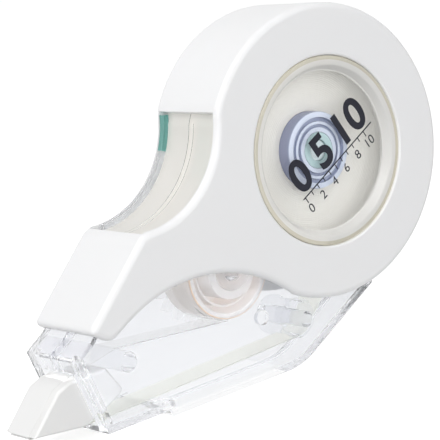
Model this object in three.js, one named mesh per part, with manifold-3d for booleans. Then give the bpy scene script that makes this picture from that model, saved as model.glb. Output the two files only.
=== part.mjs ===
// Correction tape with a white outer cover over a clear cassette.
// Millimetres, +Z up. The head points to -X and the near side faces -Y.
// Side outlines are drawn as (x, z) pairs from the supply axis, and the group at the end
// moves the part so that its flat base lies at z = 0 under the middle of its length.

import * as THREE from 'three';
import { mergeVertices } from 'three/addons/utils/BufferGeometryUtils.js';
import Module from 'manifold-3d';

const wasm = await Module();
wasm.setup();

const DEGREE = Math.PI / 180;

// Fits
const RUNNING_FIT = 0.06;
const SLIP_FIT = 0.1;
const COVER_FIT = 0.2;
const SEAT_GAP = 0.3;
const WINDING_GAP = 0.05;

// How far solids that are joined run into each other, and how far a tool runs past what it cuts
const OVERLAP = 0.1;
const CUT_MARGIN = 1;

// Outer cover
const RING_RADIUS = 22;
const COVER_WIDTH = 15;
const COVER_SKIN = 1.0;
const COVER_RIM = 1.2;
const COVER_EDGE = 1.0;
const WINDOW_RADIUS = 14.2;
const WINDOW_EDGE = 0.4;
const FINGER_RADIUS = 14.4;
const FINGER_BITE = 0.8;
const FINGER_ANGLE = 162.2;
const ARM_SLOPE = 44;
const ARM_REACH = 43.9;
const ARM_DEPTH = 4.0;
const ARM_END_LEAN = 0.9;
const ARCH_RADIUS = 25.3;
const ARCH_X = -28.2;
const ARCH_CROWN = -12.1;
const ARCH_LEAD = 5;

// Clear cassette
const CASSETTE_WALL = 1.0;
const FINGER_WALL_RECESS = 0.8;
const ARM_LEAD = 0.4;
const REAR_SLOPE = 28.2;
const REAR_INSET = 0.1;
const REAR_CORNER = 11.5;
const REAR_JOIN = 5.4;
const SEAM_OFFSET = -0.3;
const SEAM_LAP = 1.3;
const SEAM_TONGUE = 0.45;
const DISH_RADIUS = 11.2;
const DISH_SLOPE = 1.7;
const DISH_DEPTH = 1.3;
const DISH_FILLET = 0.2;
const LIP_HEIGHT = 0.9;

// Nose: offsets from the point of the base line that lies under the arm's top corner
const NOSE_HEIGHT = 15.78;
const NOSE_TOP = [-2.44, 12.5];
const NOSE_FOOT = 0.96;
const NOSE_STEP = 1.0;
const NOSE_OPENING = 8.0;
const NOSE_BAND = 2.3;
const CHEEK_DEPTH = 1.5;
const CHEEK_RISE = 0.5;
const BASE_FRONT = 11.96;

// Gear train
const GEAR_MODULE = 0.75;
const SUPPLY_TEETH = 42;
const TAKE_UP_TEETH = 21;
const TRAIN_ANGLE = 214.4;
const GEAR_THICKNESS = 1.3;
const GEAR_BACKLASH = 0.14;
const PRESSURE_ANGLE = 20;
const GEAR_WEB = 0.7;
const GEAR_RIM = 2.2;
const GEAR_HUB_WALL = 0.6;
const FLANK_START = 0.1;
const DEDENDUM = 1.25;

// Supply spool
const TAPE_WIDTH = 5;
const TAPE_THICKNESS = 0.15;
const ROLL_RADIUS = 14.4;
const CORE_RADIUS = 5.8;
const CORE_WALL = 1.2;
const CORE_FACE = 1.0;
const CORE_RING = 0.9;
const CORE_STEP = 0.35;
const CORE_SLOPE = 0.3;
const CORE_CHAMFER = 0.25;
const SUPPLY_BOSS = 2.7;
const SUPPLY_POST = 1.6;
const COLLAR_HEIGHT = 1.0;
const CLUTCH_LENGTH = 3.2;
const CLUTCH_CHAMFER = 0.5;
const CLUTCH_GROOVE = 0.3;

// Take-up spool
const DRUM_RADIUS = 7.2;
const DRUM_WALL = 0.7;
const DRUM_HUB = 4.2;
const DRUM_FLOOR = 1.0;
const DRUM_SETBACK = 0.8;
const DRUM_CHAMFER = 0.2;
const TAKE_UP_BOSS = 2.9;
const TAKE_UP_POST = 1.5;
const LINER_BUILD = 0.25;

// Guides
const ROLLER_RADIUS = 2.7;
const ROLLER_POST = 1.2;
const ROLLER_INSET = 4.3;
const ROLLER_HEIGHT = 6.35;
const ROLLER_LENGTH = 6.4;
const FLANGE_HEIGHT = 0.35;
const FLANGE_SLOPE = 0.05;
const PEG_RADIUS = 1.5;
const PEG_OFFSET = [6.66, 9.65];
const STUB_RADIUS = 1.1;
const STUB_CENTRE = [-16.0, -21.4];
const STUB_LENGTH = 0.8;
const PIN_RADIUS = 0.9;
const PIN_LENGTH = 2;
const PIN_INSET = 3.0;
const PIN_ANGLES = [10.5, 81.5];
const ARM_PIN_BACK = 13.83;
const ARM_PIN_DEPTH = 4.92;

// Transfer head: offsets from the same point as the nose's
const HEAD_WIDTH = 7.6;
const HEAD_TIP = [-9.54, 3.35];
const HEAD_BROW = [-4.54, 8.45];
const HEAD_CROWN = [-2.54, 9.25];
const HEAD_NAPE = [3.66, 9.55];
const HEAD_TAIL = [5.86, 5.85];
const HEAD_HEEL = [5.26, 5.15];
const HEAD_SOLE = [-0.84, 2.35];
const HEAD_PIN = 1.1;
const HEAD_PIN_OFFSET = [2.26, 6.55];

// Worked out from the sizes above
const cavityHalf = COVER_WIDTH / 2 - COVER_SKIN;
const cassetteHalf = cavityHalf - SLIP_FIT;
const innerHalf = cassetteHalf - CASSETTE_WALL;
const supplyPitch = GEAR_MODULE * SUPPLY_TEETH / 2;
const takeUpPitch = GEAR_MODULE * TAKE_UP_TEETH / 2;
const takeUpCentre = polar(supplyPitch + takeUpPitch, TRAIN_ANGLE);
const dishFace = cassetteHalf + LIP_HEIGHT - DISH_DEPTH;
const dishInside = dishFace - CASSETTE_WALL;
const gearBack = dishInside - SEAT_GAP;
const gearFront = gearBack - GEAR_THICKNESS;
const spoolFront = -(dishInside - SEAT_GAP);
const cassetteRing = RING_RADIUS - COVER_RIM - COVER_FIT;
const fingerCentre = polar(RING_RADIUS + FINGER_RADIUS - FINGER_BITE, FINGER_ANGLE);
const armAlong = new THREE.Vector2(-Math.cos(ARM_SLOPE * DEGREE), -Math.sin(ARM_SLOPE * DEGREE));
const armInward = new THREE.Vector2(-armAlong.y, armAlong.x);
const armEnd = armPoint(ARM_REACH, 0);
const baseDrop = NOSE_HEIGHT - armEnd.y;
const noseTop = fromNose(NOSE_TOP);
const noseFoot = fromNose([NOSE_FOOT, NOSE_STEP]);
const baseFront = fromNose([BASE_FRONT, 0]);
const headTip = fromNose(HEAD_TIP);
const headSole = fromNose(HEAD_SOLE);
const headPin = fromNose(HEAD_PIN_OFFSET);
const pegCentre = fromNose(PEG_OFFSET);
const rollerCentre = besideRear(ROLLER_INSET, ROLLER_HEIGHT);
const pinCentres = [
  armPoint(ARM_REACH - ARM_PIN_BACK, ARM_PIN_DEPTH),
  ...PIN_ANGLES.map((angle) => polar(cassetteRing - PIN_INSET, angle)),
];

// Points, arcs and outlines of the side profile

function vec([x, z]) {
  return new THREE.Vector2(x, z);
}

function polar(radius, angle, centre = new THREE.Vector2()) {
  const turn = angle * DEGREE;
  return new THREE.Vector2(centre.x + radius * Math.cos(turn), centre.y + radius * Math.sin(turn));
}

function angleOf(point, centre = new THREE.Vector2()) {
  return Math.atan2(point.y - centre.y, point.x - centre.x) / DEGREE;
}

function arc(centre, radius, from, to, steps) {
  const points = [];
  for (let i = 0; i <= steps; i += 1) {
    points.push(polar(radius, from + (to - from) * i / steps, centre));
  }
  return points;
}

function circleCrossing(centreA, radiusA, centreB, radiusB, side) {
  const span = centreA.distanceTo(centreB);
  const along = (span * span + radiusA * radiusA - radiusB * radiusB) / (2 * span);
  const offset = Math.acos(THREE.MathUtils.clamp(along / radiusA, -1, 1)) / DEGREE;
  return polar(radiusA, angleOf(centreB, centreA) + side * offset, centreA);
}

function armPoint(reach, depth) {
  return armAlong.clone().multiplyScalar(reach).addScaledVector(armInward, depth - RING_RADIUS);
}

function armCrossing(radius, depth) {
  const foot = armPoint(0, depth);
  const toFoot = foot.clone().sub(fingerCentre);
  const ahead = toFoot.dot(armAlong);
  const aside = toFoot.dot(armInward);
  const reach = Math.sqrt(radius * radius - aside * aside) - ahead;
  return foot.addScaledVector(armAlong, reach);
}

function fromNose([x, z]) {
  return new THREE.Vector2(armEnd.x + x, z - baseDrop);
}

function rearNormal() {
  return new THREE.Vector2(Math.sin(REAR_SLOPE * DEGREE), -Math.cos(REAR_SLOPE * DEGREE));
}

function rearPoint(along) {
  const direction = new THREE.Vector2(Math.cos(REAR_SLOPE * DEGREE), Math.sin(REAR_SLOPE * DEGREE));
  return rearNormal().multiplyScalar(RING_RADIUS - REAR_INSET).addScaledVector(direction, along);
}

// The point at a distance inside the rear wall and at a height over the base.
function besideRear(distance, height) {
  const normal = rearNormal();
  const z = height - baseDrop;
  const x = (RING_RADIUS - REAR_INSET - distance - normal.y * z) / normal.x;
  return new THREE.Vector2(x, z);
}

function rearJoin() {
  return rearPoint(-REAR_JOIN);
}

function inset(points, distance) {
  const count = points.length;
  return points.map((point, i) => {
    const before = point.clone().sub(points[(i + count - 1) % count]).normalize();
    const after = points[(i + 1) % count].clone().sub(point).normalize();
    const bisector = new THREE.Vector2(-before.y - after.y, before.x + after.x).normalize();
    const lean = bisector.dot(new THREE.Vector2(-before.y, before.x));
    return point.clone().addScaledVector(bisector, distance / lean);
  });
}

// Solids

function slab(points, low, high, edge = 0) {
  const geometry = new THREE.ExtrudeGeometry(new THREE.Shape(points), {
    depth: high - low - 2 * edge,
    steps: 1,
    bevelEnabled: edge > 0,
    bevelThickness: edge,
    bevelSize: edge,
    bevelOffset: -edge,
    bevelSegments: 3,
  });
  geometry.rotateX(Math.PI / 2);
  geometry.translate(0, high - edge, 0);
  return geometry;
}

function turned(profile, segments, centre = new THREE.Vector2()) {
  const points = [...profile, profile[0]].map(([radius, y]) => new THREE.Vector2(radius, y));
  const geometry = new THREE.LatheGeometry(points, segments);
  geometry.translate(centre.x, 0, centre.y);
  return geometry;
}

function rod(radius, low, high, segments, centre) {
  return turned([[0, low], [radius, low], [radius, high], [0, high]], segments, centre);
}

function tube(inner, outer, low, high, segments, centre) {
  const profile = [[inner, low], [outer, low], [outer, high], [inner, high]];
  return turned(profile, segments, centre);
}

function solid(geometry) {
  const bare = geometry.clone();
  bare.deleteAttribute('normal');
  bare.deleteAttribute('uv');
  const merged = mergeVertices(bare, 1e-5);
  const index = merged.index.array;
  const triangles = [];
  for (let i = 0; i < index.length; i += 3) {
    const [a, b, c] = [index[i], index[i + 1], index[i + 2]];
    if (a !== b && b !== c && c !== a) {
      triangles.push(a, b, c);
    }
  }
  return new wasm.Manifold(new wasm.Mesh({
    numProp: 3,
    vertProperties: new Float32Array(merged.attributes.position.array),
    triVerts: new Uint32Array(triangles),
  }));
}

function join(...geometries) {
  return geometries.map(solid).reduce((whole, next) => whole.add(next));
}

function cut(whole, ...geometries) {
  return geometries.map(solid).reduce((rest, next) => rest.subtract(next), whole);
}

function mirrored(shape) {
  return shape.mirror([0, 1, 0]);
}

function shapeOf(form) {
  if (form.isBufferGeometry) {
    return shapeOf(solid(form));
  }
  const { vertProperties, triVerts } = form.getMesh();
  const geometry = new THREE.BufferGeometry();
  geometry.setAttribute('position', new THREE.BufferAttribute(new Float32Array(vertProperties), 3));
  geometry.setIndex(new THREE.BufferAttribute(new Uint32Array(triVerts), 1));
  geometry.computeVertexNormals();
  return geometry;
}

function piece(name, form, material) {
  const mesh = new THREE.Mesh(shapeOf(form), material);
  mesh.name = name;
  return mesh;
}

// Outer cover: ring, finger hollow and arm in one moulding, open underneath

function coverOutline() {
  const origin = new THREE.Vector2();
  const archCentre = new THREE.Vector2(ARCH_X, ARCH_CROWN - ARCH_RADIUS);
  const archJoin = circleCrossing(archCentre, ARCH_RADIUS, origin, RING_RADIUS, -1);
  const shoulder = circleCrossing(origin, RING_RADIUS, fingerCentre, FINGER_RADIUS, -1);
  const corner = armCrossing(FINGER_RADIUS, 0);
  const endFoot = armPoint(ARM_REACH - ARM_END_LEAN, ARM_DEPTH);
  const fingerFrom = angleOf(shoulder, fingerCentre);
  const fingerTo = angleOf(corner, fingerCentre);
  const archFrom = angleOf(endFoot, archCentre) - ARCH_LEAD;
  const archTo = angleOf(archJoin, archCentre);
  return [
    ...arc(origin, RING_RADIUS, angleOf(archJoin), angleOf(shoulder), 46),
    ...arc(fingerCentre, FINGER_RADIUS, fingerFrom, fingerTo, 14).slice(1),
    armEnd,
    endFoot,
    ...arc(archCentre, ARCH_RADIUS, archFrom, archTo, 12).slice(0, -1),
  ];
}

function coverCavity() {
  const origin = new THREE.Vector2();
  const inside = RING_RADIUS - COVER_RIM;
  const shoulder = circleCrossing(origin, RING_RADIUS, fingerCentre, FINGER_RADIUS, -1);
  const corner = armCrossing(FINGER_RADIUS, 0);
  const clear = FINGER_RADIUS / 2;
  const rimEnd = rearJoin();
  const rimEndAngle = angleOf(rimEnd) + SEAT_GAP / RING_RADIUS / DEGREE;
  return [
    polar(RING_RADIUS + clear, rimEndAngle),
    ...arc(origin, inside, rimEndAngle, angleOf(shoulder), 36),
    polar(RING_RADIUS + clear, angleOf(shoulder)),
    corner.clone().addScaledVector(armInward, -clear),
    corner.clone().addScaledVector(armInward, COVER_RIM),
    armPoint(ARM_REACH + clear, COVER_RIM),
    new THREE.Vector2(-ARM_REACH - clear, -baseDrop - clear),
    new THREE.Vector2(rimEnd.x, -baseDrop - clear),
  ];
}

function windowCutter(side) {
  const face = COVER_WIDTH / 2;
  const profile = [
    [0, cavityHalf - CUT_MARGIN],
    [WINDOW_RADIUS, cavityHalf - CUT_MARGIN],
    [WINDOW_RADIUS, face - WINDOW_EDGE],
    [WINDOW_RADIUS + WINDOW_EDGE, face],
    [WINDOW_RADIUS + WINDOW_EDGE, face + CUT_MARGIN],
    [0, face + CUT_MARGIN],
  ];
  const cutter = turned(profile, 56);
  if (side < 0) {
    cutter.rotateX(Math.PI);
  }
  return cutter;
}

function outerCover() {
  const whole = solid(slab(coverOutline(), -COVER_WIDTH / 2, COVER_WIDTH / 2, COVER_EDGE));
  const cavity = slab(coverCavity(), -cavityHalf, cavityHalf);
  return cut(whole, cavity, windowCutter(-1), windowCutter(1));
}

// Clear cassette: two shells whose rim walls lap along the middle of the width

function cassetteOutline() {
  const origin = new THREE.Vector2();
  const fingerWall = FINGER_RADIUS + FINGER_WALL_RECESS;
  const armDepth = COVER_RIM + COVER_FIT;
  const joinAngle = angleOf(rearJoin());
  const shoulder = circleCrossing(origin, cassetteRing, fingerCentre, fingerWall, -1);
  const corner = armCrossing(fingerWall, armDepth);
  const fingerFrom = angleOf(shoulder, fingerCentre);
  const fingerTo = angleOf(corner, fingerCentre);
  const cornerCentre = besideRear(REAR_CORNER, REAR_CORNER);
  return [
    ...arc(origin, cassetteRing, joinAngle, angleOf(shoulder), 40),
    ...arc(fingerCentre, fingerWall, fingerFrom, fingerTo, 14).slice(1),
    armPoint(ARM_REACH + ARM_LEAD, armDepth),
    noseTop,
    noseFoot,
    new THREE.Vector2(baseFront.x - NOSE_STEP / 2, noseFoot.y),
    baseFront,
    ...arc(cornerCentre, REAR_CORNER, -90, REAR_SLOPE - 90, 5),
    rearJoin(),
  ];
}

function seamWall(outer, inner, low, high) {
  return cut(solid(slab(outer, low, high)), slab(inner, low - CUT_MARGIN, high + CUT_MARGIN));
}

// The dish is the raised lip that fills the cover's window, with a cone down to a flat disc.
function dish() {
  const lipTop = cassetteHalf + LIP_HEIGHT;
  const lipOuter = WINDOW_RADIUS - SEAT_GAP;
  return turned([
    [0, dishInside],
    [DISH_RADIUS + DISH_FILLET, dishInside],
    [DISH_RADIUS + DISH_SLOPE, innerHalf],
    [lipOuter, innerHalf],
    [lipOuter, lipTop],
    [DISH_RADIUS + DISH_SLOPE, lipTop],
    [DISH_RADIUS, dishFace],
    [0, dishFace],
  ], 56);
}

// One side: the wall plate, the dish, the cheek beside the head and the rim wall to the seam.
function cassetteSide(wall) {
  const outline = cassetteOutline();
  const lining = inset(outline, CASSETTE_WALL);
  const plate = cut(solid(slab(outline, innerHalf, cassetteHalf)),
    rod(DISH_RADIUS + DISH_SLOPE / 2, innerHalf - CUT_MARGIN, cassetteHalf + CUT_MARGIN, 56));
  const cheek = slab([
    noseTop,
    noseFoot,
    noseFoot.clone().add(new THREE.Vector2(CHEEK_DEPTH, 0)),
    noseTop.clone().add(new THREE.Vector2(CHEEK_DEPTH, CHEEK_RISE)),
  ], NOSE_OPENING / 2, innerHalf + OVERLAP);
  const cheekInside = solid(cheek).intersect(solid(slab(outline, 0, cassetteHalf)));
  return plate.add(solid(dish())).add(cheekInside).add(wall(outline, lining));
}

function noseX(height) {
  const drop = (height - noseTop.y) / (noseFoot.y - noseTop.y);
  return THREE.MathUtils.lerp(noseTop.x, noseFoot.x, drop);
}

function headOpening() {
  const top = noseTop.y - NOSE_BAND;
  const foot = noseFoot.y + CASSETTE_WALL;
  const behind = CASSETTE_WALL + COVER_FIT;
  return slab([
    new THREE.Vector2(noseX(top) - behind, top),
    new THREE.Vector2(noseX(foot) - behind, foot),
    new THREE.Vector2(noseX(foot) + behind, foot),
    new THREE.Vector2(noseX(top) + behind, top),
  ], -NOSE_OPENING / 2, NOSE_OPENING / 2);
}

function cassetteBack() {
  const seam = SEAM_OFFSET + SEAM_LAP / 2;
  const lapEnd = SEAM_OFFSET - SEAM_LAP / 2;
  const side = cassetteSide((outline, lining) => {
    const tongue = inset(outline, CASSETTE_WALL - SEAM_TONGUE);
    return seamWall(outline, lining, seam, innerHalf + OVERLAP)
      .add(seamWall(tongue, lining, lapEnd + SLIP_FIT, seam + OVERLAP));
  });
  const posts = [
    rod(SUPPLY_POST, spoolFront + SEAT_GAP, innerHalf + OVERLAP, 24),
    rod(SUPPLY_BOSS, gearBack + SLIP_FIT, innerHalf + OVERLAP, 24),
    rod(TAKE_UP_POST, spoolFront + SEAT_GAP, innerHalf + OVERLAP, 24, takeUpCentre),
    rod(TAKE_UP_BOSS, gearBack + SLIP_FIT, innerHalf + OVERLAP, 24, takeUpCentre),
    rod(ROLLER_POST, -innerHalf + SEAT_GAP, innerHalf + OVERLAP, 20, rollerCentre),
    rod(PEG_RADIUS, -innerHalf + SEAT_GAP, innerHalf + OVERLAP, 20, pegCentre),
    rod(HEAD_PIN, -innerHalf + SEAT_GAP, innerHalf + OVERLAP, 16, headPin),
    ...pinCentres.map((centre) => rod(PIN_RADIUS, SEAM_OFFSET - PIN_LENGTH, innerHalf + OVERLAP, 14, centre)),
  ];
  return cut(side.add(join(...posts)), headOpening());
}

function cassetteFront() {
  const seam = SEAM_OFFSET + SEAM_LAP / 2;
  const lapEnd = SEAM_OFFSET - SEAM_LAP / 2;
  const side = mirrored(cassetteSide((outline, lining) => {
    const rebate = inset(outline, CASSETTE_WALL - SEAM_TONGUE - SLIP_FIT);
    return seamWall(outline, lining, -lapEnd, innerHalf + OVERLAP)
      .add(seamWall(outline, rebate, SLIP_FIT - seam, OVERLAP - lapEnd));
  }));
  const sockets = pinCentres.map((centre) => {
    return tube(PIN_RADIUS + RUNNING_FIT, 2 * PIN_RADIUS, -innerHalf - OVERLAP, SEAM_OFFSET, 14, centre);
  });
  const stub = rod(STUB_RADIUS, -innerHalf - OVERLAP, STUB_LENGTH - innerHalf, 16, vec(STUB_CENTRE));
  return cut(side.add(join(stub, ...sockets)), headOpening());
}

// Gears

function toothFlank(radius, pitch, base) {
  const roll = Math.sqrt(Math.max(0, (radius / base) ** 2 - 1));
  const pitchRoll = Math.sqrt((pitch / base) ** 2 - 1);
  return (pitchRoll - Math.atan(pitchRoll)) - (roll - Math.atan(roll));
}

// A tooth of an even count points at the given angle; its flanks are involutes.
function gearOutline(teeth, angle) {
  const pitch = GEAR_MODULE * teeth / 2;
  const base = pitch * Math.cos(PRESSURE_ANGLE * DEGREE);
  const tip = pitch + GEAR_MODULE;
  const root = pitch - DEDENDUM * GEAR_MODULE;
  const half = (Math.PI * GEAR_MODULE / 2 - GEAR_BACKLASH) / 2 / pitch;
  const radii = [root, Math.max(root, base) + FLANK_START, pitch, tip];
  const points = [];
  for (let i = 0; i < teeth; i += 1) {
    const middle = angle + 360 * i / teeth;
    const spread = radii.map((radius) => (half + toothFlank(radius, pitch, base)) / DEGREE);
    radii.forEach((radius, k) => points.push(polar(radius, middle - spread[k])));
    radii.toReversed().forEach((radius, k) => points.push(polar(radius, middle + spread[3 - k])));
  }
  return points;
}

function gearDisc(teeth, angle, rimInside, hubOutside) {
  const web = (GEAR_THICKNESS - GEAR_WEB) / 2;
  const disc = solid(slab(gearOutline(teeth, angle), gearFront, gearBack));
  return cut(disc,
    tube(hubOutside, rimInside, gearFront - CUT_MARGIN, gearFront + web, 40),
    tube(hubOutside, rimInside, gearBack - web, gearBack + CUT_MARGIN, 40));
}

function supplyGear() {
  const core = CORE_RADIUS - CORE_WALL;
  const rim = supplyPitch - GEAR_RIM;
  const disc = gearDisc(SUPPLY_TEETH, TRAIN_ANGLE, rim, core);
  const boss = rod(SUPPLY_BOSS, spoolFront, gearBack, 28);
  const collar = rod(core - RUNNING_FIT, gearFront - COLLAR_HEIGHT, gearBack - GEAR_THICKNESS / 2, 28);
  const bore = rod(SUPPLY_POST + RUNNING_FIT, spoolFront - CUT_MARGIN, gearBack + CUT_MARGIN, 24);
  return cut(disc.add(join(boss, collar)), bore);
}

function takeUpGear() {
  const gap = TRAIN_ANGLE + 180 + 180 / TAKE_UP_TEETH;
  const disc = gearDisc(TAKE_UP_TEETH, gap, takeUpPitch - GEAR_RIM, TAKE_UP_BOSS + GEAR_HUB_WALL);
  const boss = rod(TAKE_UP_BOSS, spoolFront, gearBack, 28);
  const bore = rod(TAKE_UP_POST + RUNNING_FIT, spoolFront - CUT_MARGIN, gearBack + CUT_MARGIN, 24);
  const gear = cut(disc.add(join(boss)), bore);
  return gear.translate([takeUpCentre.x, 0, takeUpCentre.y]);
}

// Spools

function supplyCore() {
  const bore = CORE_RADIUS - CORE_WALL;
  const back = gearFront - SEAT_GAP;
  const inner = spoolFront + CORE_FACE;
  const shaft = SUPPLY_BOSS + RUNNING_FIT;
  return turned([
    [shaft, spoolFront],
    [shaft + CORE_RING, spoolFront],
    [shaft + CORE_RING, spoolFront + CORE_STEP],
    [bore - CORE_SLOPE, spoolFront + CORE_STEP],
    [bore, spoolFront],
    [CORE_RADIUS - CORE_CHAMFER, spoolFront],
    [CORE_RADIUS, spoolFront + CORE_CHAMFER],
    [CORE_RADIUS, back],
    [bore, back],
    [bore, inner],
    [shaft, inner],
  ], 36);
}

function clutchRing() {
  const half = CLUTCH_LENGTH / 2;
  const inner = SUPPLY_BOSS + RUNNING_FIT;
  const outer = CORE_RADIUS - CORE_WALL - SLIP_FIT;
  return turned([
    [inner, -half],
    [outer - CLUTCH_CHAMFER, -half],
    [outer, CLUTCH_CHAMFER - half],
    [outer, -CLUTCH_GROOVE],
    [outer - CLUTCH_GROOVE, 0],
    [outer, CLUTCH_GROOVE],
    [outer, half - CLUTCH_CHAMFER],
    [outer - CLUTCH_CHAMFER, half],
    [inner, half],
  ], 20);
}

function takeUpDrum() {
  const back = gearFront - SLIP_FIT;
  const front = spoolFront + SEAT_GAP;
  const rim = front + DRUM_SETBACK;
  const shaft = TAKE_UP_BOSS + RUNNING_FIT;
  const inside = DRUM_RADIUS - DRUM_WALL;
  return turned([
    [shaft, front],
    [DRUM_HUB, front],
    [DRUM_HUB, back - DRUM_FLOOR],
    [inside, back - DRUM_FLOOR],
    [inside, rim],
    [DRUM_RADIUS - DRUM_CHAMFER, rim],
    [DRUM_RADIUS, rim + DRUM_CHAMFER],
    [DRUM_RADIUS, back],
    [shaft, back],
  ], 36, takeUpCentre);
}

function guideRoller() {
  const half = ROLLER_LENGTH / 2;
  const flange = ROLLER_RADIUS + FLANGE_HEIGHT;
  const bore = ROLLER_POST + RUNNING_FIT;
  const edge = TAPE_WIDTH / 2 + SLIP_FIT;
  return turned([
    [bore, -half],
    [flange, -half],
    [flange, -edge],
    [ROLLER_RADIUS, -edge + FLANGE_SLOPE],
    [ROLLER_RADIUS, edge - FLANGE_SLOPE],
    [flange, edge],
    [flange, half],
    [bore, half],
  ], 24, rollerCentre);
}

// Tape runs: a thin band swept along its path across the tape's width

function ribbon(path) {
  const left = [];
  const right = [];
  path.forEach((point, i) => {
    const before = path[Math.max(0, i - 1)];
    const after = path[Math.min(path.length - 1, i + 1)];
    const along = after.clone().sub(before).normalize();
    const across = new THREE.Vector2(-along.y, along.x).multiplyScalar(TAPE_THICKNESS / 2);
    left.push(point.clone().add(across));
    right.push(point.clone().sub(across));
  });
  return slab([...right, ...left.reverse()], -TAPE_WIDTH / 2, TAPE_WIDTH / 2);
}

// The direction square to the outer tangent of two circles, on the chosen side.
function tangentAngle(centreA, radiusA, centreB, radiusB, side) {
  const span = centreA.distanceTo(centreB);
  const heading = angleOf(centreB, centreA);
  return heading + side * Math.acos((radiusA - radiusB) / span) / DEGREE;
}

function feedTape() {
  const origin = new THREE.Vector2();
  const rise = TAPE_THICKNESS / 2 + SLIP_FIT;
  const rollReach = ROLL_RADIUS + rise;
  const rollerReach = ROLLER_RADIUS + rise;
  const leave = tangentAngle(rollerCentre, rollerReach, origin, rollReach, -1);
  const sole = headSole.clone().add(new THREE.Vector2(0, -rise));
  const tip = headTip.clone().add(new THREE.Vector2(0, -rise));
  const turn = Math.acos(rollerReach / sole.distanceTo(rollerCentre)) / DEGREE;
  const meet = angleOf(sole, rollerCentre) + turn;
  return ribbon([
    polar(rollReach, leave),
    ...arc(rollerCentre, rollerReach, leave, meet, 6),
    sole,
    tip,
  ]);
}

function returnLiner() {
  const rise = TAPE_THICKNESS / 2 + SLIP_FIT;
  const pegReach = PEG_RADIUS + rise;
  const drumReach = DRUM_RADIUS + LINER_BUILD + rise;
  const cross = Math.acos((pegReach + drumReach) / takeUpCentre.distanceTo(pegCentre)) / DEGREE;
  const leave = angleOf(takeUpCentre, pegCentre) + cross;
  const crown = fromNose(HEAD_CROWN).add(new THREE.Vector2(0, rise));
  const turn = Math.acos(pegReach / crown.distanceTo(pegCentre)) / DEGREE;
  const meet = THREE.MathUtils.euclideanModulo(angleOf(crown, pegCentre) - turn, 360);
  const up = new THREE.Vector2(-rise, rise).multiplyScalar(Math.SQRT1_2);
  return ribbon([
    polar(drumReach, leave + 180, takeUpCentre),
    ...arc(pegCentre, pegReach, leave, meet, 4),
    crown,
    fromNose(HEAD_BROW).add(up),
    headTip.clone().add(up),
  ]);
}

function tapeRoll() {
  return tube(CORE_RADIUS + WINDING_GAP, ROLL_RADIUS, -TAPE_WIDTH / 2, TAPE_WIDTH / 2, 48);
}

function takeUpLiner() {
  const half = TAPE_WIDTH / 2;
  return tube(DRUM_RADIUS + WINDING_GAP, DRUM_RADIUS + LINER_BUILD, -half, half, 40, takeUpCentre);
}

// Transfer head

function transferHead() {
  const half = HEAD_WIDTH / 2;
  const upper = [HEAD_HEEL, HEAD_TAIL, HEAD_NAPE, HEAD_CROWN, HEAD_BROW].map(fromNose);
  const profile = [headTip, headSole, ...upper];
  const body = solid(slab(profile, -half, half));
  return cut(body, rod(HEAD_PIN + RUNNING_FIT, -half - CUT_MARGIN, half + CUT_MARGIN, 16, headPin));
}

// Finishes

const whiteShell = new THREE.MeshStandardMaterial({ color: 0xeeeeee, roughness: 0.35 });
const clearShell = new THREE.MeshStandardMaterial({
  color: 0xe8edf2, roughness: 0.08, transparent: true, opacity: 0.35,
});
const tealGear = new THREE.MeshStandardMaterial({ color: 0x1f9c94, roughness: 0.35 });
const blueCore = new THREE.MeshStandardMaterial({ color: 0x7f92cf, roughness: 0.3 });
const greyRubber = new THREE.MeshStandardMaterial({ color: 0x6d7074, roughness: 0.7 });
const creamTape = new THREE.MeshStandardMaterial({ color: 0xece8dc, roughness: 0.6 });
const linerFilm = new THREE.MeshStandardMaterial({ color: 0xe6dcc8, roughness: 0.5 });
const peachDrum = new THREE.MeshStandardMaterial({ color: 0xf0dccb, roughness: 0.35 });
const whiteGear = new THREE.MeshStandardMaterial({ color: 0xe2e2e0, roughness: 0.4 });

// Assembly

const correctionTape = new THREE.Group();

correctionTape.add(
  piece('outer_cover', outerCover(), whiteShell),
  piece('cassette_front', cassetteFront(), clearShell),
  piece('cassette_back', cassetteBack(), clearShell),
  piece('transfer_head', transferHead(), whiteShell),
  piece('supply_gear', supplyGear(), tealGear),
  piece('clutch_ring', clutchRing(), greyRubber),
  piece('supply_core', supplyCore(), blueCore),
  piece('supply_tape_roll', tapeRoll(), creamTape),
  piece('feed_tape', feedTape(), creamTape),
  piece('return_liner', returnLiner(), linerFilm),
  piece('take_up_gear', takeUpGear(), whiteGear),
  piece('take_up_drum', takeUpDrum(), peachDrum),
  piece('take_up_liner', takeUpLiner(), linerFilm),
  piece('guide_roller', guideRoller(), clearShell),
);
correctionTape.position.set((-headTip.x - RING_RADIUS) / 2, 0, baseDrop);

export default correctionTape;
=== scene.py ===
"""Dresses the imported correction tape: a white cover over a clear cassette, with its spools, gears and tape.

Outlines are (x, z) pairs and widths are y, in millimetres from the supply axis. place() turns them into
metres in the row frame, where the head points to -X and the near side faces -Y.
"""

import logging
import math
from dataclasses import dataclass
from enum import Enum
from typing import Callable, Iterable, Optional, Sequence

import bmesh
import bpy
from mathutils import Matrix, Vector


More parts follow.
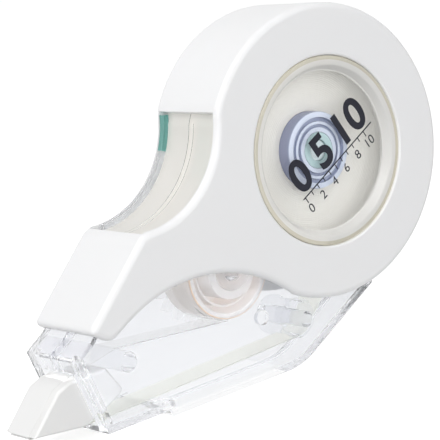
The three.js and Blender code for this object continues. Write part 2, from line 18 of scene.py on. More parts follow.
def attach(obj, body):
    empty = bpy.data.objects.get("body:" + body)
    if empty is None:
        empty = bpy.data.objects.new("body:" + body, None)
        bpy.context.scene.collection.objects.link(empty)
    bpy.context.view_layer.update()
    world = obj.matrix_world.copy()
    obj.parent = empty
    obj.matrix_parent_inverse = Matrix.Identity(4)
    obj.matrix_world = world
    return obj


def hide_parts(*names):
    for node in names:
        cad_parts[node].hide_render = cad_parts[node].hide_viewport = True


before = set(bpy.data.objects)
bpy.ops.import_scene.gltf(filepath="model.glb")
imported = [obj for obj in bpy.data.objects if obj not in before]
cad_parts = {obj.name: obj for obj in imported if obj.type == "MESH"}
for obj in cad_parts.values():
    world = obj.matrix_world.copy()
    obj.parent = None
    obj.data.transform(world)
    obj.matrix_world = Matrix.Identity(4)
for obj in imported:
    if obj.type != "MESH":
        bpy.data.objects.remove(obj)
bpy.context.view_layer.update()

log = logging.getLogger("correction_tape")

Point = tuple[float, float]
Colour = tuple[float, float, float]
Spot = tuple[float, float, float]
Mesh = bpy.types.Mesh
Socket = bpy.types.NodeSocket

MM = 0.001
SUPPLY_AXIS = Vector((0.0172, 0.0, 0.03045))
ORIGIN: Point = (0.0, 0.0)
WHITE: Colour = (1.0, 1.0, 1.0)
MILK_REACH: Colour = (1.0, 0.95, 0.9)
MILK_DEPTH = 0.5
FINE_ROUND = 144
SHARP_EDGE = math.radians(28.0)
CUT_PAST = 1.0
ROD_EDGE_STEPS = 4
FINE_SCALE, BROAD_SCALE = 2600.0, 70.0
FINE_SHARE = 0.25
SAME_PLACE = 1e-8
BOOLEAN_GRAIN = 2e-7
TEXT_GRAIN = 1e-6


class Body(Enum):
    """The bodies that a piece can ride on."""

    SHELL = "body"
    SPOOL = "supply_spool"
    REEL = "take_up_reel"
    ROLLER = "roller"


class Solid(Enum):
    """How one solid is combined with another."""

    JOIN = "UNION"
    CUT = "DIFFERENCE"
    SHARE = "INTERSECT"


# Plane geometry


def place(x: float, y: float, z: float) -> Vector:
    """Turns millimetres from the supply axis into metres in the row frame."""
    return Vector((x * MM, y * MM, z * MM)) + SUPPLY_AXIS


def polar(radius: float, degrees: float, centre: Point = ORIGIN) -> Point:
    """Gives the point at a radius and an angle round a centre."""
    turn = math.radians(degrees)
    return centre[0] + radius * math.cos(turn), centre[1] + radius * math.sin(turn)


def heading(point: Point, centre: Point = ORIGIN) -> float:
    """Gives the angle in degrees at which a point lies from a centre."""
    return math.degrees(math.atan2(point[1] - centre[1], point[0] - centre[0]))


def arc(centre: Point, radius: float, start: float, end: float, steps: int) -> list[Point]:
    """Gives the points of an arc between two angles in degrees, both ends included."""
    return [polar(radius, start + (end - start) * i / steps, centre) for i in range(steps + 1)]


def crossing(first: Point, first_radius: float, second: Point, second_radius: float) -> Point:
    """Finds where two circles cross, on the clockwise side of the line from the first to the second.

    Args:
        first: Centre of the first circle.
        first_radius: Its radius.
        second: Centre of the second circle.
        second_radius: Its radius.

    Returns:
        The crossing.
    """
    span = math.dist(first, second)
    along = (span * span + first_radius**2 - second_radius**2) / (2 * span)
    offset = math.degrees(math.acos(along / first_radius))
    return polar(first_radius, heading(second, first) - offset, first)


def meeting(first: Vector, along: Vector, second: Vector, across: Vector) -> Vector:
    """Finds where two lines meet, each given by a point and a direction."""
    return first + along * ((second - first).cross(across) / along.cross(across))


def inset(points: Sequence[Point], distance: float) -> list[Point]:
    """Moves every edge of a counter-clockwise outline inwards by a distance.

    Args:
        points: The outline.
        distance: How far its edges move.

    Returns:
        As many points as before. Those of a corner too tight for the distance share one place.
    """
    count = len(points)
    spots = [Vector(point) for point in points]
    along = [(spots[(i + 1) % count] - spots[i]).normalized() for i in range(count)]
    moved = []
    for i, spot in enumerate(spots):
        before, after = along[i - 1], along[i]
        bisector = Vector((-before.y - after.y, before.x + after.x)).normalized()
        moved.append(spot + bisector * (distance / bisector.dot(Vector((-before.y, before.x)))))
    turned = [(moved[(i + 1) % count] - moved[i]).dot(along[i]) < 0 for i in range(count)]
    for first in [i for i in range(count) if turned[i] and not turned[i - 1]]:
        last = first
        while turned[(last + 1) % count]:
            last += 1
        while True:
            ahead, beyond = (last + 1) % count, moved[(last + 2) % count]
            shared = meeting(moved[first - 1], along[first - 1], beyond, along[ahead])
            if (shared - moved[first - 1]).dot(along[first - 1]) < 0:
                first -= 1
            elif (beyond - shared).dot(along[ahead]) < 0:
                last += 1
            else:
                break
        for i in range(first, last + 2):
            moved[i % count] = shared
    return [tuple(spot) for spot in moved]


def soften(points: Sequence[Point], reach: float, sharp: float, steps: int = 6) -> list[Point]:
    """Rounds the sharp corners of a closed outline.

    Args:
        points: The outline.
        reach: How far from its corner each rounding starts, along the outline.
        sharp: The turn in degrees above which a corner counts as sharp.
        steps: How many straight pieces stand for each rounding.

    Returns:
        The outline with its corners rounded.
    """
    count = len(points)
    flat = [Vector(point) for point in points]
    kept = [[tuple(spot)] for spot in flat]
    for i, spot in enumerate(flat):
        if math.degrees((spot - flat[i - 1]).angle(flat[(i + 1) % count] - spot)) <= sharp:
            continue
        ends = []
        for way in (-1, 1):
            here, left = i, reach
            while (length := (flat[(here + way) % count] - flat[here]).length) <= left:
                here, left = (here + way) % count, left - length
                kept[here] = []
            ends.append(flat[here].lerp(flat[(here + way) % count], left / length))
        kept[i] = []
        for t in (k / steps for k in range(steps + 1)):
            kept[i].append(tuple(ends[0] * (1 - t) ** 2 + spot * (2 * t * (1 - t)) + ends[1] * t**2))
    return [point for group in kept for point in group]


def rim(at: float, edge: float, side: int, steps: int) -> list[Point]:
    """Gives the steps of a rounded rim.

    Args:
        at: The y of the face that the rim leads to.
        edge: The rounding's radius, or 0 for a sharp rim.
        side: 1 where that face looks along y, and -1 where it looks against it.
        steps: How many straight pieces stand for the rounding.

    Returns:
        Pairs of the distance in from the wall and the y, in order of rising y.
    """
    if not edge:
        return [(0.0, at)]
    turns = [math.pi / 2 * k / steps for k in range(steps + 1)]
    return [(edge * (1 - math.cos(turn)), at - side * edge * (1 - math.sin(turn))) for turn in turns][::side]


# Meshes


def link(name: str, data: object) -> bpy.types.Object:
    """Puts data into the scene as an object."""
    made = bpy.data.objects.new(name, data)
    bpy.context.scene.collection.objects.link(made)
    return made


def applied(item: bpy.types.Object) -> Mesh:
    """Gives an object's mesh as it is evaluated, and removes the object."""
    mesh = bpy.data.meshes.new_from_object(item.evaluated_get(bpy.context.evaluated_depsgraph_get()))
    bpy.data.objects.remove(item)
    return mesh


def weld(mesh: Mesh, grain: float, outwards: bool = False) -> Mesh:
    """Joins the points of a mesh that lie within a grain in metres, and can turn its faces outwards."""
    work = bmesh.new()
    work.from_mesh(mesh)
    bmesh.ops.remove_doubles(work, verts=work.verts, dist=grain)
    if outwards:
        bmesh.ops.recalc_face_normals(work, faces=work.faces)
    work.to_mesh(mesh)
    work.free()
    return mesh


def merge(*meshes: Mesh) -> Mesh:
    """Puts separate meshes into one, as they are."""
    work = bmesh.new()
    for mesh in meshes:
        work.from_mesh(mesh)
    result = bpy.data.meshes.new("part")
    work.to_mesh(result)
    work.free()
    return result


def mesh_of(verts: Iterable[Vector], faces: Iterable[Iterable[int]]) -> Mesh:
    """Makes a mesh from points in metres and faces, with its normals pointing outwards."""
    mesh = bpy.data.meshes.new("part")
    mesh.from_pydata([tuple(v) for v in verts], [], [tuple(f) for f in faces])
    return weld(mesh, SAME_PLACE, outwards=True)


def prism(points: Sequence[Point], low: float, high: float, edges: Point = (0.0, 0.0), steps: int = 5,
          bands: Sequence[float] = ()) -> Mesh:
    """Stands an outline up across the width, with rounded rims where they are asked for.

    Args:
        points: The counter-clockwise outline.
        low: The lower y.
        high: The higher y.
        edges: Radius of the rounding at the low and at the high rim.
        steps: How many bands stand for each rounding.
        bands: Further y values where the walls are parted, for their finishes.

    Returns:
        The closed mesh.
    """
    levels = [*rim(low, edges[0], -1, steps), *[(0.0, y) for y in bands], *rim(high, edges[1], 1, steps)]
    rings = [inset(points, distance) if distance else points for distance, _ in levels]
    verts = [place(x, y, z) for ring, (_, y) in zip(rings, levels) for x, z in ring]
    count = len(points)
    top = len(verts) - count
    faces = [range(count), range(top, top + count)[::-1]]
    for base in range(0, top, count):
        for i in range(count):
            here, after = base + i, base + (i + 1) % count
            faces.append((here, here + count, after + count, after))
    return mesh_of(verts, faces)


def lathe(profile: Sequence[Point], segments: int, centre: Point = ORIGIN, side: int = 1) -> Mesh:
    """Turns a closed profile round an axis along y.

    Args:
        profile: (radius, y) pairs round the section.
        segments: How many pieces stand for a full turn.
        centre: Where the axis stands.
        side: 1, or -1 to mirror the profile to the near side.

    Returns:
        The closed mesh.
    """
    verts, faces, count = [], [], len(profile)
    for i in range(segments):
        turn = 2 * math.pi * i / segments
        here, after = i * count, (i + 1) % segments * count
        for k, (radius, y) in enumerate(profile):
            m = (k + 1) % count
            x, z = centre[0] + radius * math.cos(turn), centre[1] + radius * math.sin(turn)
            verts.append(place(x, y * side, z))
            face = [here + k, here + m, *[after + n for n in (m, k) if profile[n][0]]]
            if len(face) > 2:
                faces.append(face)
    return mesh_of(verts, faces)


def mirrored(near: Sequence[Point]) -> list[Point]:
    """Closes the near half of a section with its mirror image."""
    return [*near, *[(radius, -y) for radius, y in near[::-1]]]


def rod(radius: float, low: float, high: float, centre: Point = ORIGIN, edge: float = 0.0,
        segments: int = 48) -> Mesh:
    """Makes a round pin along y, with its two rims rounded."""
    rims = [(radius - back, y) for side, at in ((-1, low), (1, high))
            for back, y in rim(at, edge, side, ROD_EDGE_STEPS)]
    return lathe([(0.0, low), *rims, (0.0, high)], segments, centre)


def combine(base: Mesh, steps: Sequence[tuple[Solid, Mesh]]) -> Mesh:
    """Joins, cuts or intersects closed meshes, one after the other.

    Args:
        base: The mesh to start from.
        steps: What to do, and with which mesh.

    Returns:
        The resulting mesh.
    """
    host = link("work_base", base)
    tools = []
    for kind, mesh in steps:
        tools.append(link("work_tool", mesh))
        modifier = host.modifiers.new(kind.name, "BOOLEAN")
        modifier.operation, modifier.solver, modifier.object = kind.value, "MANIFOLD", tools[-1]
    result = applied(host)
    for tool in tools:
        bpy.data.objects.remove(tool)
    return weld(result, BOOLEAN_GRAIN)


# Node building


class Nodes:
    """A small helper that adds nodes to a tree and joins them."""

    def __init__(self, tree: bpy.types.NodeTree) -> None:
        """Keeps the tree and empties it."""
        self.tree = tree
        tree.nodes.clear()

    def add(self, kind: str, inputs: Optional[dict] = None, **settings: object) -> Sequence[Socket]:
        """Adds a node.

        Args:
            kind: The node's type.
            inputs: Values or output sockets by the input's name or number.
            settings: Properties of the node itself.

        Returns:
            Its outputs.
        """
        node = self.tree.nodes.new(kind)
        for name, value in settings.items():
            setattr(node, name, value)
        for key, value in (inputs or {}).items():
            if isinstance(value, Socket):
                self.tree.links.new(value, node.inputs[key])
            else:
                node.inputs[key].default_value = value
        return node.outputs

    def math(self, operation: str, *values: object) -> Socket:
        """Adds a Math node."""
        return self.add("ShaderNodeMath", dict(enumerate(values)), operation=operation)[0]

    def noise(self, spot: Socket, scale: object, detail: float) -> Socket:
        """Adds a noise texture."""
        return self.add("ShaderNodeTexNoise", {"Vector": spot, "Scale": scale, "Detail": detail})[0]

    def bump(self, height: Socket, depth: float) -> Socket:
        """Adds a bump, its depth in millimetres."""
        return self.add("ShaderNodeBump", {"Strength": 1.0, "Distance": depth * MM, "Height": height})[0]

    def blend(self, tone: Socket, shade: Colour, colour: Colour) -> Socket:
        """Mixes two colours by a tone."""
        return self.add("ShaderNodeMix", {0: tone, 6: (*shade, 1.0), 7: (*colour, 1.0)}, data_type="RGBA")[2]

    def choose(self, share: Socket, first: Socket, second: Socket) -> Socket:
        """Mixes two shaders."""
        return self.add("ShaderNodeMixShader", {0: share, 1: first, 2: second})[0]

    def plastic(self, colour: object, rough: object, normal: Socket, refraction: float, more: dict) -> Socket:
        """Adds the plastic's own shader, with more inputs by name."""
        return self.add("ShaderNodeBsdfPrincipled", {
            "Base Color": colour, "Roughness": rough, "Normal": normal, "IOR": refraction, **more})[0]

    def pass_lamps(self, shader: Socket, colour: Iterable[float]) -> Socket:
        """Lets the lamps' light through a shader, tinted by a colour."""
        lamp = self.add("ShaderNodeBsdfTransparent", {"Color": (*colour, 1.0)})[0]
        return self.choose(self.add("ShaderNodeLightPath")["Is Shadow Ray"], shader, lamp)


def moulding_group() -> bpy.types.NodeTree:
    """Builds the fine unevenness of a moulded surface: a height, a roughness and a slow change of tone."""
    group = bpy.data.node_groups.new("moulded_surface", "ShaderNodeTree")
    for way, names in (("INPUT", ("Scale", "Shine", "Spread")), ("OUTPUT", ("Height", "Roughness", "Tone"))):
        for name in names:
            group.interface.new_socket(name=name, in_out=way, socket_type="NodeSocketFloat")
    nodes = Nodes(group)
    given = nodes.add("NodeGroupInput")
    spot = nodes.add("ShaderNodeTexCoord")["Object"]
    fine = nodes.noise(spot, nodes.math("MULTIPLY", given["Scale"], FINE_SCALE), 2.0)
    broad = nodes.noise(spot, nodes.math("MULTIPLY", given["Scale"], BROAD_SCALE), 3.0)
    shares = [nodes.math("MULTIPLY", fine, FINE_SHARE), nodes.math("MULTIPLY", broad, 1.0 - FINE_SHARE)]
    height = nodes.math("ADD", *shares)
    spread = nodes.math("MULTIPLY", nodes.math("SUBTRACT", broad, 0.5), given["Spread"])
    rough = nodes.math("ADD", given["Shine"], spread)
    nodes.add("NodeGroupOutput", {"Height": height, "Roughness": rough, "Tone": broad})
    return group


MOULDING = moulding_group()


# Finishes


@dataclass(frozen=True)
class Finish:
    """A material by its name. Each kind of finish adds its shader."""

    name: str

    def shader(self, nodes: Nodes) -> Socket:
        """Builds the shader."""
        raise NotImplementedError

    def make(self) -> bpy.types.Material:
        """Builds the material."""
        material = bpy.data.materials.new(self.name)
        material.use_nodes = True
        nodes = Nodes(material.node_tree)
        nodes.add("ShaderNodeOutputMaterial", {0: self.shader(nodes)})
        return material


@dataclass(frozen=True)
class Moulded(Finish):
    """An opaque or milky moulded plastic. `passing` is the share of the lamps' light that it lets through."""

    colour: Colour
    shade: Colour
    shine: float = 0.32
    milky: float = 0.0
    passing: float = 0.0
    spread: float = 0.1
    grain: float = 0.006
    refraction: float = 1.49

    def shader(self, nodes: Nodes) -> Socket:
        """Builds the shader."""
        inputs = {"Scale": 1.0, "Shine": self.shine, "Spread": self.spread}
        surface = nodes.add("ShaderNodeGroup", inputs, node_tree=MOULDING)
        colour = nodes.blend(surface["Tone"], self.shade, self.colour)
        bump = nodes.bump(surface["Height"], self.grain)
        milk = {"Weight": self.milky, "Radius": MILK_REACH, "Scale": MILK_DEPTH * MM}
        shader = nodes.plastic(colour, surface["Roughness"], bump, self.refraction,
                               {"Subsurface " + key: value for key, value in milk.items()})
        return nodes.pass_lamps(shader, [self.passing] * 3) if self.passing else shader


@dataclass(frozen=True)
class Clear(Finish):
    """Clear moulded plastic that lets lamps through. `body` is the share of its surface that refracts."""

    tint: Colour = (0.945, 0.951, 0.966)
    shine: float = 0.02
    refraction: float = 1.3
    body: float = 0.95
    ripple: float = 0.02
    passing: float = 0.985
    broadness: float = 0.6

    def shader(self, nodes: Nodes) -> Socket:
        """Builds the shader."""
        surface = nodes.add("ShaderNodeGroup", {"Scale": self.broadness}, node_tree=MOULDING)
        bump = nodes.bump(surface["Height"], self.ripple)
        shader = nodes.plastic((*self.tint, 1.0), self.shine, bump, self.refraction,
                               {"Transmission Weight": self.body})
        return nodes.pass_lamps(shader, [c * self.passing for c in self.tint])


@dataclass(frozen=True)
class Wound(Finish):
    """The sides of a tape wound round the supply axis, in rings."""

    colour: Colour
    shade: Colour
    pitch: float = 0.3
    shine: float = 0.5
    depth: float = 0.02
    wander: float = 0.31
    refraction: float = 1.45

    def shader(self, nodes: Nodes) -> Socket:
        """Builds the shader."""
        axes = nodes.add("ShaderNodeSeparateXYZ", {0: nodes.add("ShaderNodeTexCoord")["Object"]})
        offsets = [nodes.math("SUBTRACT", axes[i], SUPPLY_AXIS[i]) for i in (0, 2)]
        square = nodes.math("ADD", *[nodes.math("MULTIPLY", offset, offset) for offset in offsets])
        turns = nodes.math("DIVIDE", nodes.math("SQRT", square), self.pitch * MM)
        wave = nodes.math("SINE", nodes.math("MULTIPLY", turns, 2 * math.pi))
        spot = nodes.add("ShaderNodeCombineXYZ", {0: nodes.math("MULTIPLY", turns, self.wander)})[0]
        uneven = nodes.noise(spot, 1.0, 4.0)
        height = nodes.math("ADD", nodes.math("MULTIPLY", wave, 0.5), uneven)
        colour, bump = nodes.blend(uneven, self.shade, self.colour), nodes.bump(height, self.depth)
        return nodes.plastic(colour, self.shine, bump, self.refraction, {})


@dataclass(frozen=True)
class Backdrop(Finish):
    """The pale floor: white to the camera and in the glass, with the object's shadow kept."""

    colour: Colour = (0.7, 0.7, 0.7)
    lift: float = 0.65

    def shader(self, nodes: Nodes) -> Socket:
        """Builds the shader."""
        path = nodes.add("ShaderNodeLightPath")
        through = nodes.math("MAXIMUM", path["Is Glossy Ray"], path["Is Transmission Ray"])
        cloth = nodes.add("ShaderNodeBsdfDiffuse", {"Color": (*self.colour, 1.0)})[0]
        strength = nodes.math("MULTIPLY", path["Is Camera Ray"], self.lift)
        glow, white = [nodes.add("ShaderNodeEmission", {"Color": (*WHITE, 1.0), "Strength": power})[0]
                       for power in (strength, 1.0)]
        return nodes.choose(through, nodes.add("ShaderNodeAddShader", {0: cloth, 1: glow})[0], white)


WHITE_COVER = Moulded("white_cover_plastic", (0.86, 0.862, 0.868), (0.835, 0.838, 0.848), 0.32, 0.15, 0.74)
HEAD_PLASTIC = Moulded("head_plastic", (0.83, 0.83, 0.825), (0.81, 0.81, 0.803), 0.5, 0.2)
HEAD_TAPE = Moulded("tape_on_head", (0.83, 0.83, 0.827), (0.82, 0.82, 0.815), 0.6, passing=0.9)
TEAL_GEAR = Moulded("teal_gear_plastic", (0.10, 0.50, 0.45), (0.07, 0.42, 0.38), 0.28)
# Painted light: the gear's teal made paler on the boss's front, for the white look of the clear post's end.
TEAL_BOSS_PAINTED_LIGHT = Moulded("teal_boss_painted_light", (0.46, 0.62, 0.64), (0.40, 0.56, 0.58), 0.28)
# The drum's peach tint, deepened on the rim's front as a painted glow of light in its edge.
PEACH_EDGE_AND_PAINTED_GLOW = Moulded("peach_edge_and_painted_glow", (0.86, 0.68, 0.52), (0.82, 0.60, 0.44), 0.3)
BLUE_CORE = Moulded("blue_core_plastic", (0.33, 0.38, 0.52), (0.27, 0.31, 0.45), 0.2, 0.1)
# The core's blue, with a painted highlight for its front faces and painted shade for its outer wall.
CORE_PAINTED_HIGHLIGHT = Moulded("core_painted_highlight", (0.62, 0.68, 0.80), (0.56, 0.62, 0.75), 0.2, 0.1)
CORE_PAINTED_SHADE = Moulded("core_painted_shade", (0.25, 0.28, 0.41), (0.20, 0.22, 0.35), 0.25)
GREY_RUBBER = Moulded("clutch_rubber", (0.16, 0.17, 0.18), (0.12, 0.13, 0.14), 0.62)
BLACK_INK = Moulded("black_ink", (0.006, 0.007, 0.016), (0.01, 0.011, 0.022), 0.75)
TAPE_ROLL = Wound("wound_tape", (0.835, 0.825, 0.785), (0.785, 0.775, 0.73))
CLEAR_SHELL = Clear("clear_cassette_plastic")
CLEAR_WINDOW = Clear("clear_window_plastic", (0.985, 0.985, 0.985), body=1.0)
# Painted shade: an olive tint on the lip's outer edge, for the shadowed gap by the cover's window and the
# tinted light in the plastic's edge.
LIP_EDGE_PAINTED_SHADE = Clear("lip_edge_painted_shade", (0.76, 0.72, 0.60), 0.15, body=0.3)
CLEAR_LIP = Clear("frosted_lip_plastic", (0.88, 0.87, 0.84), 0.25, body=0.25)
CLEAR_MARK = Clear("raised_mark_plastic", shine=0.1, refraction=1.12)
CLEAR_BORDER = Clear("hazy_border_plastic", (0.87, 0.88, 0.895), 0.12, body=0.6, ripple=0.1)
# Painted shade: a grey tint on back-facing walls inside the nose, standing for the dark refraction along its
# far edge.
NOSE_PAINTED_SHADE = Clear("nose_wall_painted_shade", (0.66, 0.66, 0.69), 0.1, body=0.55)
CLEAR_POST = Clear("post_end_plastic", (0.62, 0.75, 0.79), 0.08, body=0.4)
CLEAR_GRIP = Clear("frosted_grip_plastic", (0.875, 0.855, 0.81), 0.35, body=0.25)
# Painted light: a teal tint that stands for the gear's colour carried along the clear finger wall by light.
CLEAR_TEAL_PAINTED_GLOW = Clear("teal_painted_light_guide", (0.20, 0.47, 0.43), 0.1, body=0.35)
CLEAR_ROLLER = Clear("clear_roller_plastic", shine=0.05, refraction=1.04)
WHITE_REEL = Clear("white_reel_plastic", (0.98, 0.98, 0.98), 0.35, 1.03, 0.92)
PALE_DRUM = Clear("pale_drum_plastic", (0.995, 0.985, 0.978), 0.12, 1.1, 0.45)
# Painted shade on the drum's recess floor. The wall finish is a clearer copy that paints light onto the outer
# wall where the cover shades it.
DRUM_FLOOR_PAINTED_SHADE = Clear("drum_floor_painted_shade", (0.985, 0.952, 0.932), 0.2, 1.05, 0.42)
DRUM_WALL_PAINTED_LIGHT = Clear("drum_wall_painted_light", (0.995, 0.985, 0.975), 0.12, 1.05, 0.8)
TAPE_FILM = Clear("coated_tape_film", (0.985, 0.99, 0.93), 0.3, 1.06, 0.92)
LINER_FILM = Clear("liner_film", (0.96, 0.96, 0.955), 0.15, 1.05, 0.96)

Choice = Callable[[Vector, Vector], Finish]


# Pieces


class Workshop:
    """Turns finished meshes into pieces that ride on their bodies."""

    def __init__(self) -> None:
        """Starts with no materials made."""
        self.made: dict[Finish, bpy.types.Material] = {}

    def dress(self, item: bpy.types.Object, finishes: Sequence[Finish], choice: Optional[Choice]) -> None:
        """Gives an object its finishes and smooth shading.

        Args:
            item: The object, at rest.
            finishes: Its finishes, the first one being the main one.
            choice: Gives a face's finish from its middle (millimetres from the supply axis) and its normal.
        """
        mesh = item.data
        mesh.materials.clear()
        for finish in finishes:
            if finish not in self.made:
                self.made[finish] = finish.make()
            mesh.materials.append(self.made[finish])
        if choice:
            for face in mesh.polygons:
                centre = (item.matrix_world @ face.center - SUPPLY_AXIS) / MM
                face.material_index = finishes.index(choice(centre, face.normal))
        mesh.shade_smooth()
        mesh.set_sharp_from_angle(angle=SHARP_EDGE)

    def piece(self, name: str, mesh: Mesh, finishes: Sequence[Finish], body: Body,
              replaces: Sequence[str] = (), choice: Optional[Choice] = None) -> None:
        """Makes one piece.

        Args:
            name: The piece's name.
            mesh: Its mesh, in place.
            finishes: Its finishes, the first one being the main one.
            body: The body that it rides on.
            replaces: The CAD nodes that it stands for.
            choice: Gives a face's finish, as in dress().
        """
        mesh.name = name
        made = link(name, mesh)
        self.dress(made, finishes, choice)
        made.modifiers.new("flat_faces", "WEIGHTED_NORMAL").keep_sharp = True
        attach(made, body.value)
        if replaces:
            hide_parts(*replaces)
        log.info("%s: %d faces on %s", name, len(mesh.polygons), body.value)

    def finish_node(self, node: str, finishes: Sequence[Finish], choice: Optional[Choice] = None) -> None:
        """Finishes a CAD node that stays."""
        self.dress(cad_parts[node], finishes, choice)
        log.info("%s: kept from the frame", node)


@dataclass
class Outline:
    """The side profile that the cover and the cassette share."""

    ring: float = 22.0
    rim: float = 1.2
    cover_fit: float = 0.2
    finger: float = 14.4
    finger_bite: float = 0.8
    finger_angle: float = 162.2
    finger_recess: float = 0.8
    arm_slope: float = 44.0
    arm_reach: float = 43.9
    arm_depth: float = 4.0
    arm_end_lean: float = 0.9
    arm_lead: float = 0.4
    arch: float = 25.3
    arch_x: float = -28.2
    arch_crown: float = -12.1
    arch_lead: float = 5.0
    base: float = -30.45
    base_front: float = -34.9
    nose_step: float = 1.0
    nose_top: Point = (-49.3, -17.95)
    nose_foot: float = -45.9
    rear_slope: float = 28.2
    rear_inset: float = 0.1
    rear_corner: float = 11.5
    rear_join: float = 5.4
    seat_gap: float = 0.3
    window: float = 14.2
    corner: float = 1.3
    corner_turn: float = 20.0
    cover_steps: int = 150
    ring_steps: int = 120
    finger_steps: int = 44
    arch_steps: int = 40
    corner_steps: int = 14

    def __post_init__(self) -> None:
        """Works out the points and directions that the outlines share."""
        self.depth = self.rim + self.cover_fit
        self.finger_wall = self.finger + self.finger_recess
        self.finger_centre = polar(self.ring + self.finger - self.finger_bite, self.finger_angle)
        self.arm_along = -Vector(polar(1.0, self.arm_slope))
        self.arm_inward = self.arm_along.orthogonal()
        self.foot = (self.nose_foot, self.base + self.nose_step)
        self.lead = self.arm_point(self.arm_reach + self.arm_lead, self.depth)
        self.rear_normal = Vector(polar(1.0, self.rear_slope - 90))
        rear_along = Vector(polar(1.0, self.rear_slope))
        self.rear_end = tuple(self.rear_normal * (self.ring - self.rear_inset) - rear_along * self.rear_join)

    def arm_point(self, reach: float, depth: float) -> Point:
        """Gives the point at a reach along the arm and a depth under its top face."""
        return tuple(self.arm_along * reach + self.arm_inward * (depth - self.ring))

    def hollow(self, ring: float, wall: float, depth: float) -> list[Point]:
        """Gives the wall of the finger hollow.

        Args:
            ring: Radius of the circle round the supply axis that it starts from.
            wall: Its radius.
            depth: How far under the arm's top face it ends.

        Returns:
            Its points.
        """
        centre = self.finger_centre
        shoulder = crossing(ORIGIN, ring, centre, wall)
        start = Vector(self.arm_point(0.0, depth))
        ahead, aside = [(start - Vector(centre)).dot(way) for way in (self.arm_along, self.arm_inward)]
        corner = start + self.arm_along * (math.sqrt(wall**2 - aside**2) - ahead)
        return arc(centre, wall, heading(shoulder, centre), heading(corner, centre), self.finger_steps)

    def cover(self) -> list[Point]:
        """Gives the white cover's outline."""
        centre = (self.arch_x, self.arch_crown - self.arch)
        join = crossing(centre, self.arch, ORIGIN, self.ring)
        hollow = self.hollow(self.ring, self.finger, 0.0)
        end_foot = self.arm_point(self.arm_reach - self.arm_end_lean, self.arm_depth)
        arch_start = heading(end_foot, centre) - self.arch_lead
        return soften([
            *arc(ORIGIN, self.ring, heading(join), heading(hollow[0]), self.cover_steps),
            *hollow[1:],
            self.arm_point(self.arm_reach, 0.0),
            end_foot,
            *arc(centre, self.arch, arch_start, heading(join, centre), self.arch_steps)[:-1],
        ], self.corner, self.corner_turn)

    def cavity(self) -> list[Point]:
        """Gives the outline of the hollow inside the cover, open underneath."""
        hollow = self.hollow(self.ring, self.finger, 0.0)
        corner, clear, end = Vector(hollow[-1]), self.finger / 2, self.rear_end
        end_angle = heading(end) + math.degrees(self.seat_gap / self.ring)
        return [
            polar(self.ring + clear, end_angle),
            *arc(ORIGIN, self.ring - self.rim, end_angle, heading(hollow[0]), self.ring_steps),
            polar(self.ring + clear, heading(hollow[0])),
            tuple(corner - self.arm_inward * clear),
            tuple(corner + self.arm_inward * self.rim),
            self.arm_point(self.arm_reach + clear, self.rim),
            (-self.arm_reach - clear, self.base - clear),
            (end[0], self.base - clear),
        ]

    def cassette(self) -> list[Point]:
        """Gives the clear cassette's outline."""
        ring = self.ring - self.depth
        hollow = self.hollow(ring, self.finger_wall, self.depth)
        normal, height = self.rear_normal, self.rear_corner + self.base
        offset = self.ring - self.rear_inset - self.rear_corner
        centre = ((offset - normal.y * height) / normal.x, height)
        return [
            *arc(ORIGIN, ring, heading(self.rear_end), heading(hollow[0]), self.ring_steps),
            *hollow[1:],
            self.lead,
            self.nose_top,
            self.foot,
            (self.base_front - self.nose_step / 2, self.foot[1]),
            (self.base_front, self.base),
            *arc(centre, self.rear_corner, -90, self.rear_slope - 90, self.corner_steps),
            self.rear_end,
        ]


@dataclass
class WhiteCover:
    """The white moulding: ring, finger hollow and arm, with a round window in each side."""

    outline: Outline
    half: float = 7.5
    skin: float = 1.0
    edge: float = 1.0
    window_edge: float = 0.4
    edge_steps: int = 6
    window_steps: int = 5

    def window_cutter(self, side: int) -> Mesh:
        """Makes the tool that cuts one window, its edge rounded outwards."""
        low, high = self.half - self.skin - CUT_PAST, self.half + CUT_PAST
        radius = self.outline.window
        flare = [(radius + back, y) for back, y in rim(self.half, self.window_edge, 1, self.window_steps)]
        profile = [(0.0, low), (radius, low), *flare, (radius + self.window_edge, high), (0.0, high)]
        return lathe(profile, FINE_ROUND, side=side)

    def build(self, shop: Workshop) -> None:
        """Builds the cover."""
        inside = self.half - self.skin
        whole = prism(self.outline.cover(), -self.half, self.half, (self.edge, self.edge), self.edge_steps)
        tools = [prism(self.outline.cavity(), -inside, inside), self.window_cutter(-1), self.window_cutter(1)]
        mesh = combine(whole, [(Solid.CUT, tool) for tool in tools])
        shop.piece("cover_moulding", mesh, [WHITE_COVER], Body.SHELL, ["outer_cover"])


@dataclass
class Sizes:
    """Sizes that the cassette, the spools, the tape and the gauge share."""

    cassette_half: float = 6.4
    wall: float = 1.0
    lip_height: float = 0.9
    dish_depth: float = 1.3
    seat_gap: float = 0.3
    slip_fit: float = 0.1
    running: float = 0.06
    gear_thickness: float = 1.3
    tape_width: float = 5.0
    roll: float = 14.4
    boss: float = 2.7
    take_up: Point = (-19.493, -13.347)
    drum: float = 7.2
    drum_boss: float = 2.9
    liner: float = 0.25
    roller_centre: Point = (-7.7, -24.1)
    roller: float = 2.7
    roller_post: float = 1.2
    peg_centre: Point = (-40.2, -20.8)
    peg: float = 1.5
    head_pin_centre: Point = (-44.6, -23.9)
    head: tuple[Point, ...] = ((-56.4, -27.1), (-47.7, -28.1), (-41.6, -25.3), (-41.0, -24.6), (-43.2, -20.9),
                               (-49.4, -21.2), (-51.4, -22.0))

    def __post_init__(self) -> None:
        """Works out where the faces across the width lie."""
        self.inner_half = self.cassette_half - self.wall
        self.dish_face = self.cassette_half + self.lip_height - self.dish_depth
        self.dish_inside = self.dish_face - self.wall
        self.gear_back = self.dish_inside - self.seat_gap
        self.gear_front = self.gear_back - self.gear_thickness
        self.spool_front = self.seat_gap - self.dish_inside
        self.tape_half = self.tape_width / 2


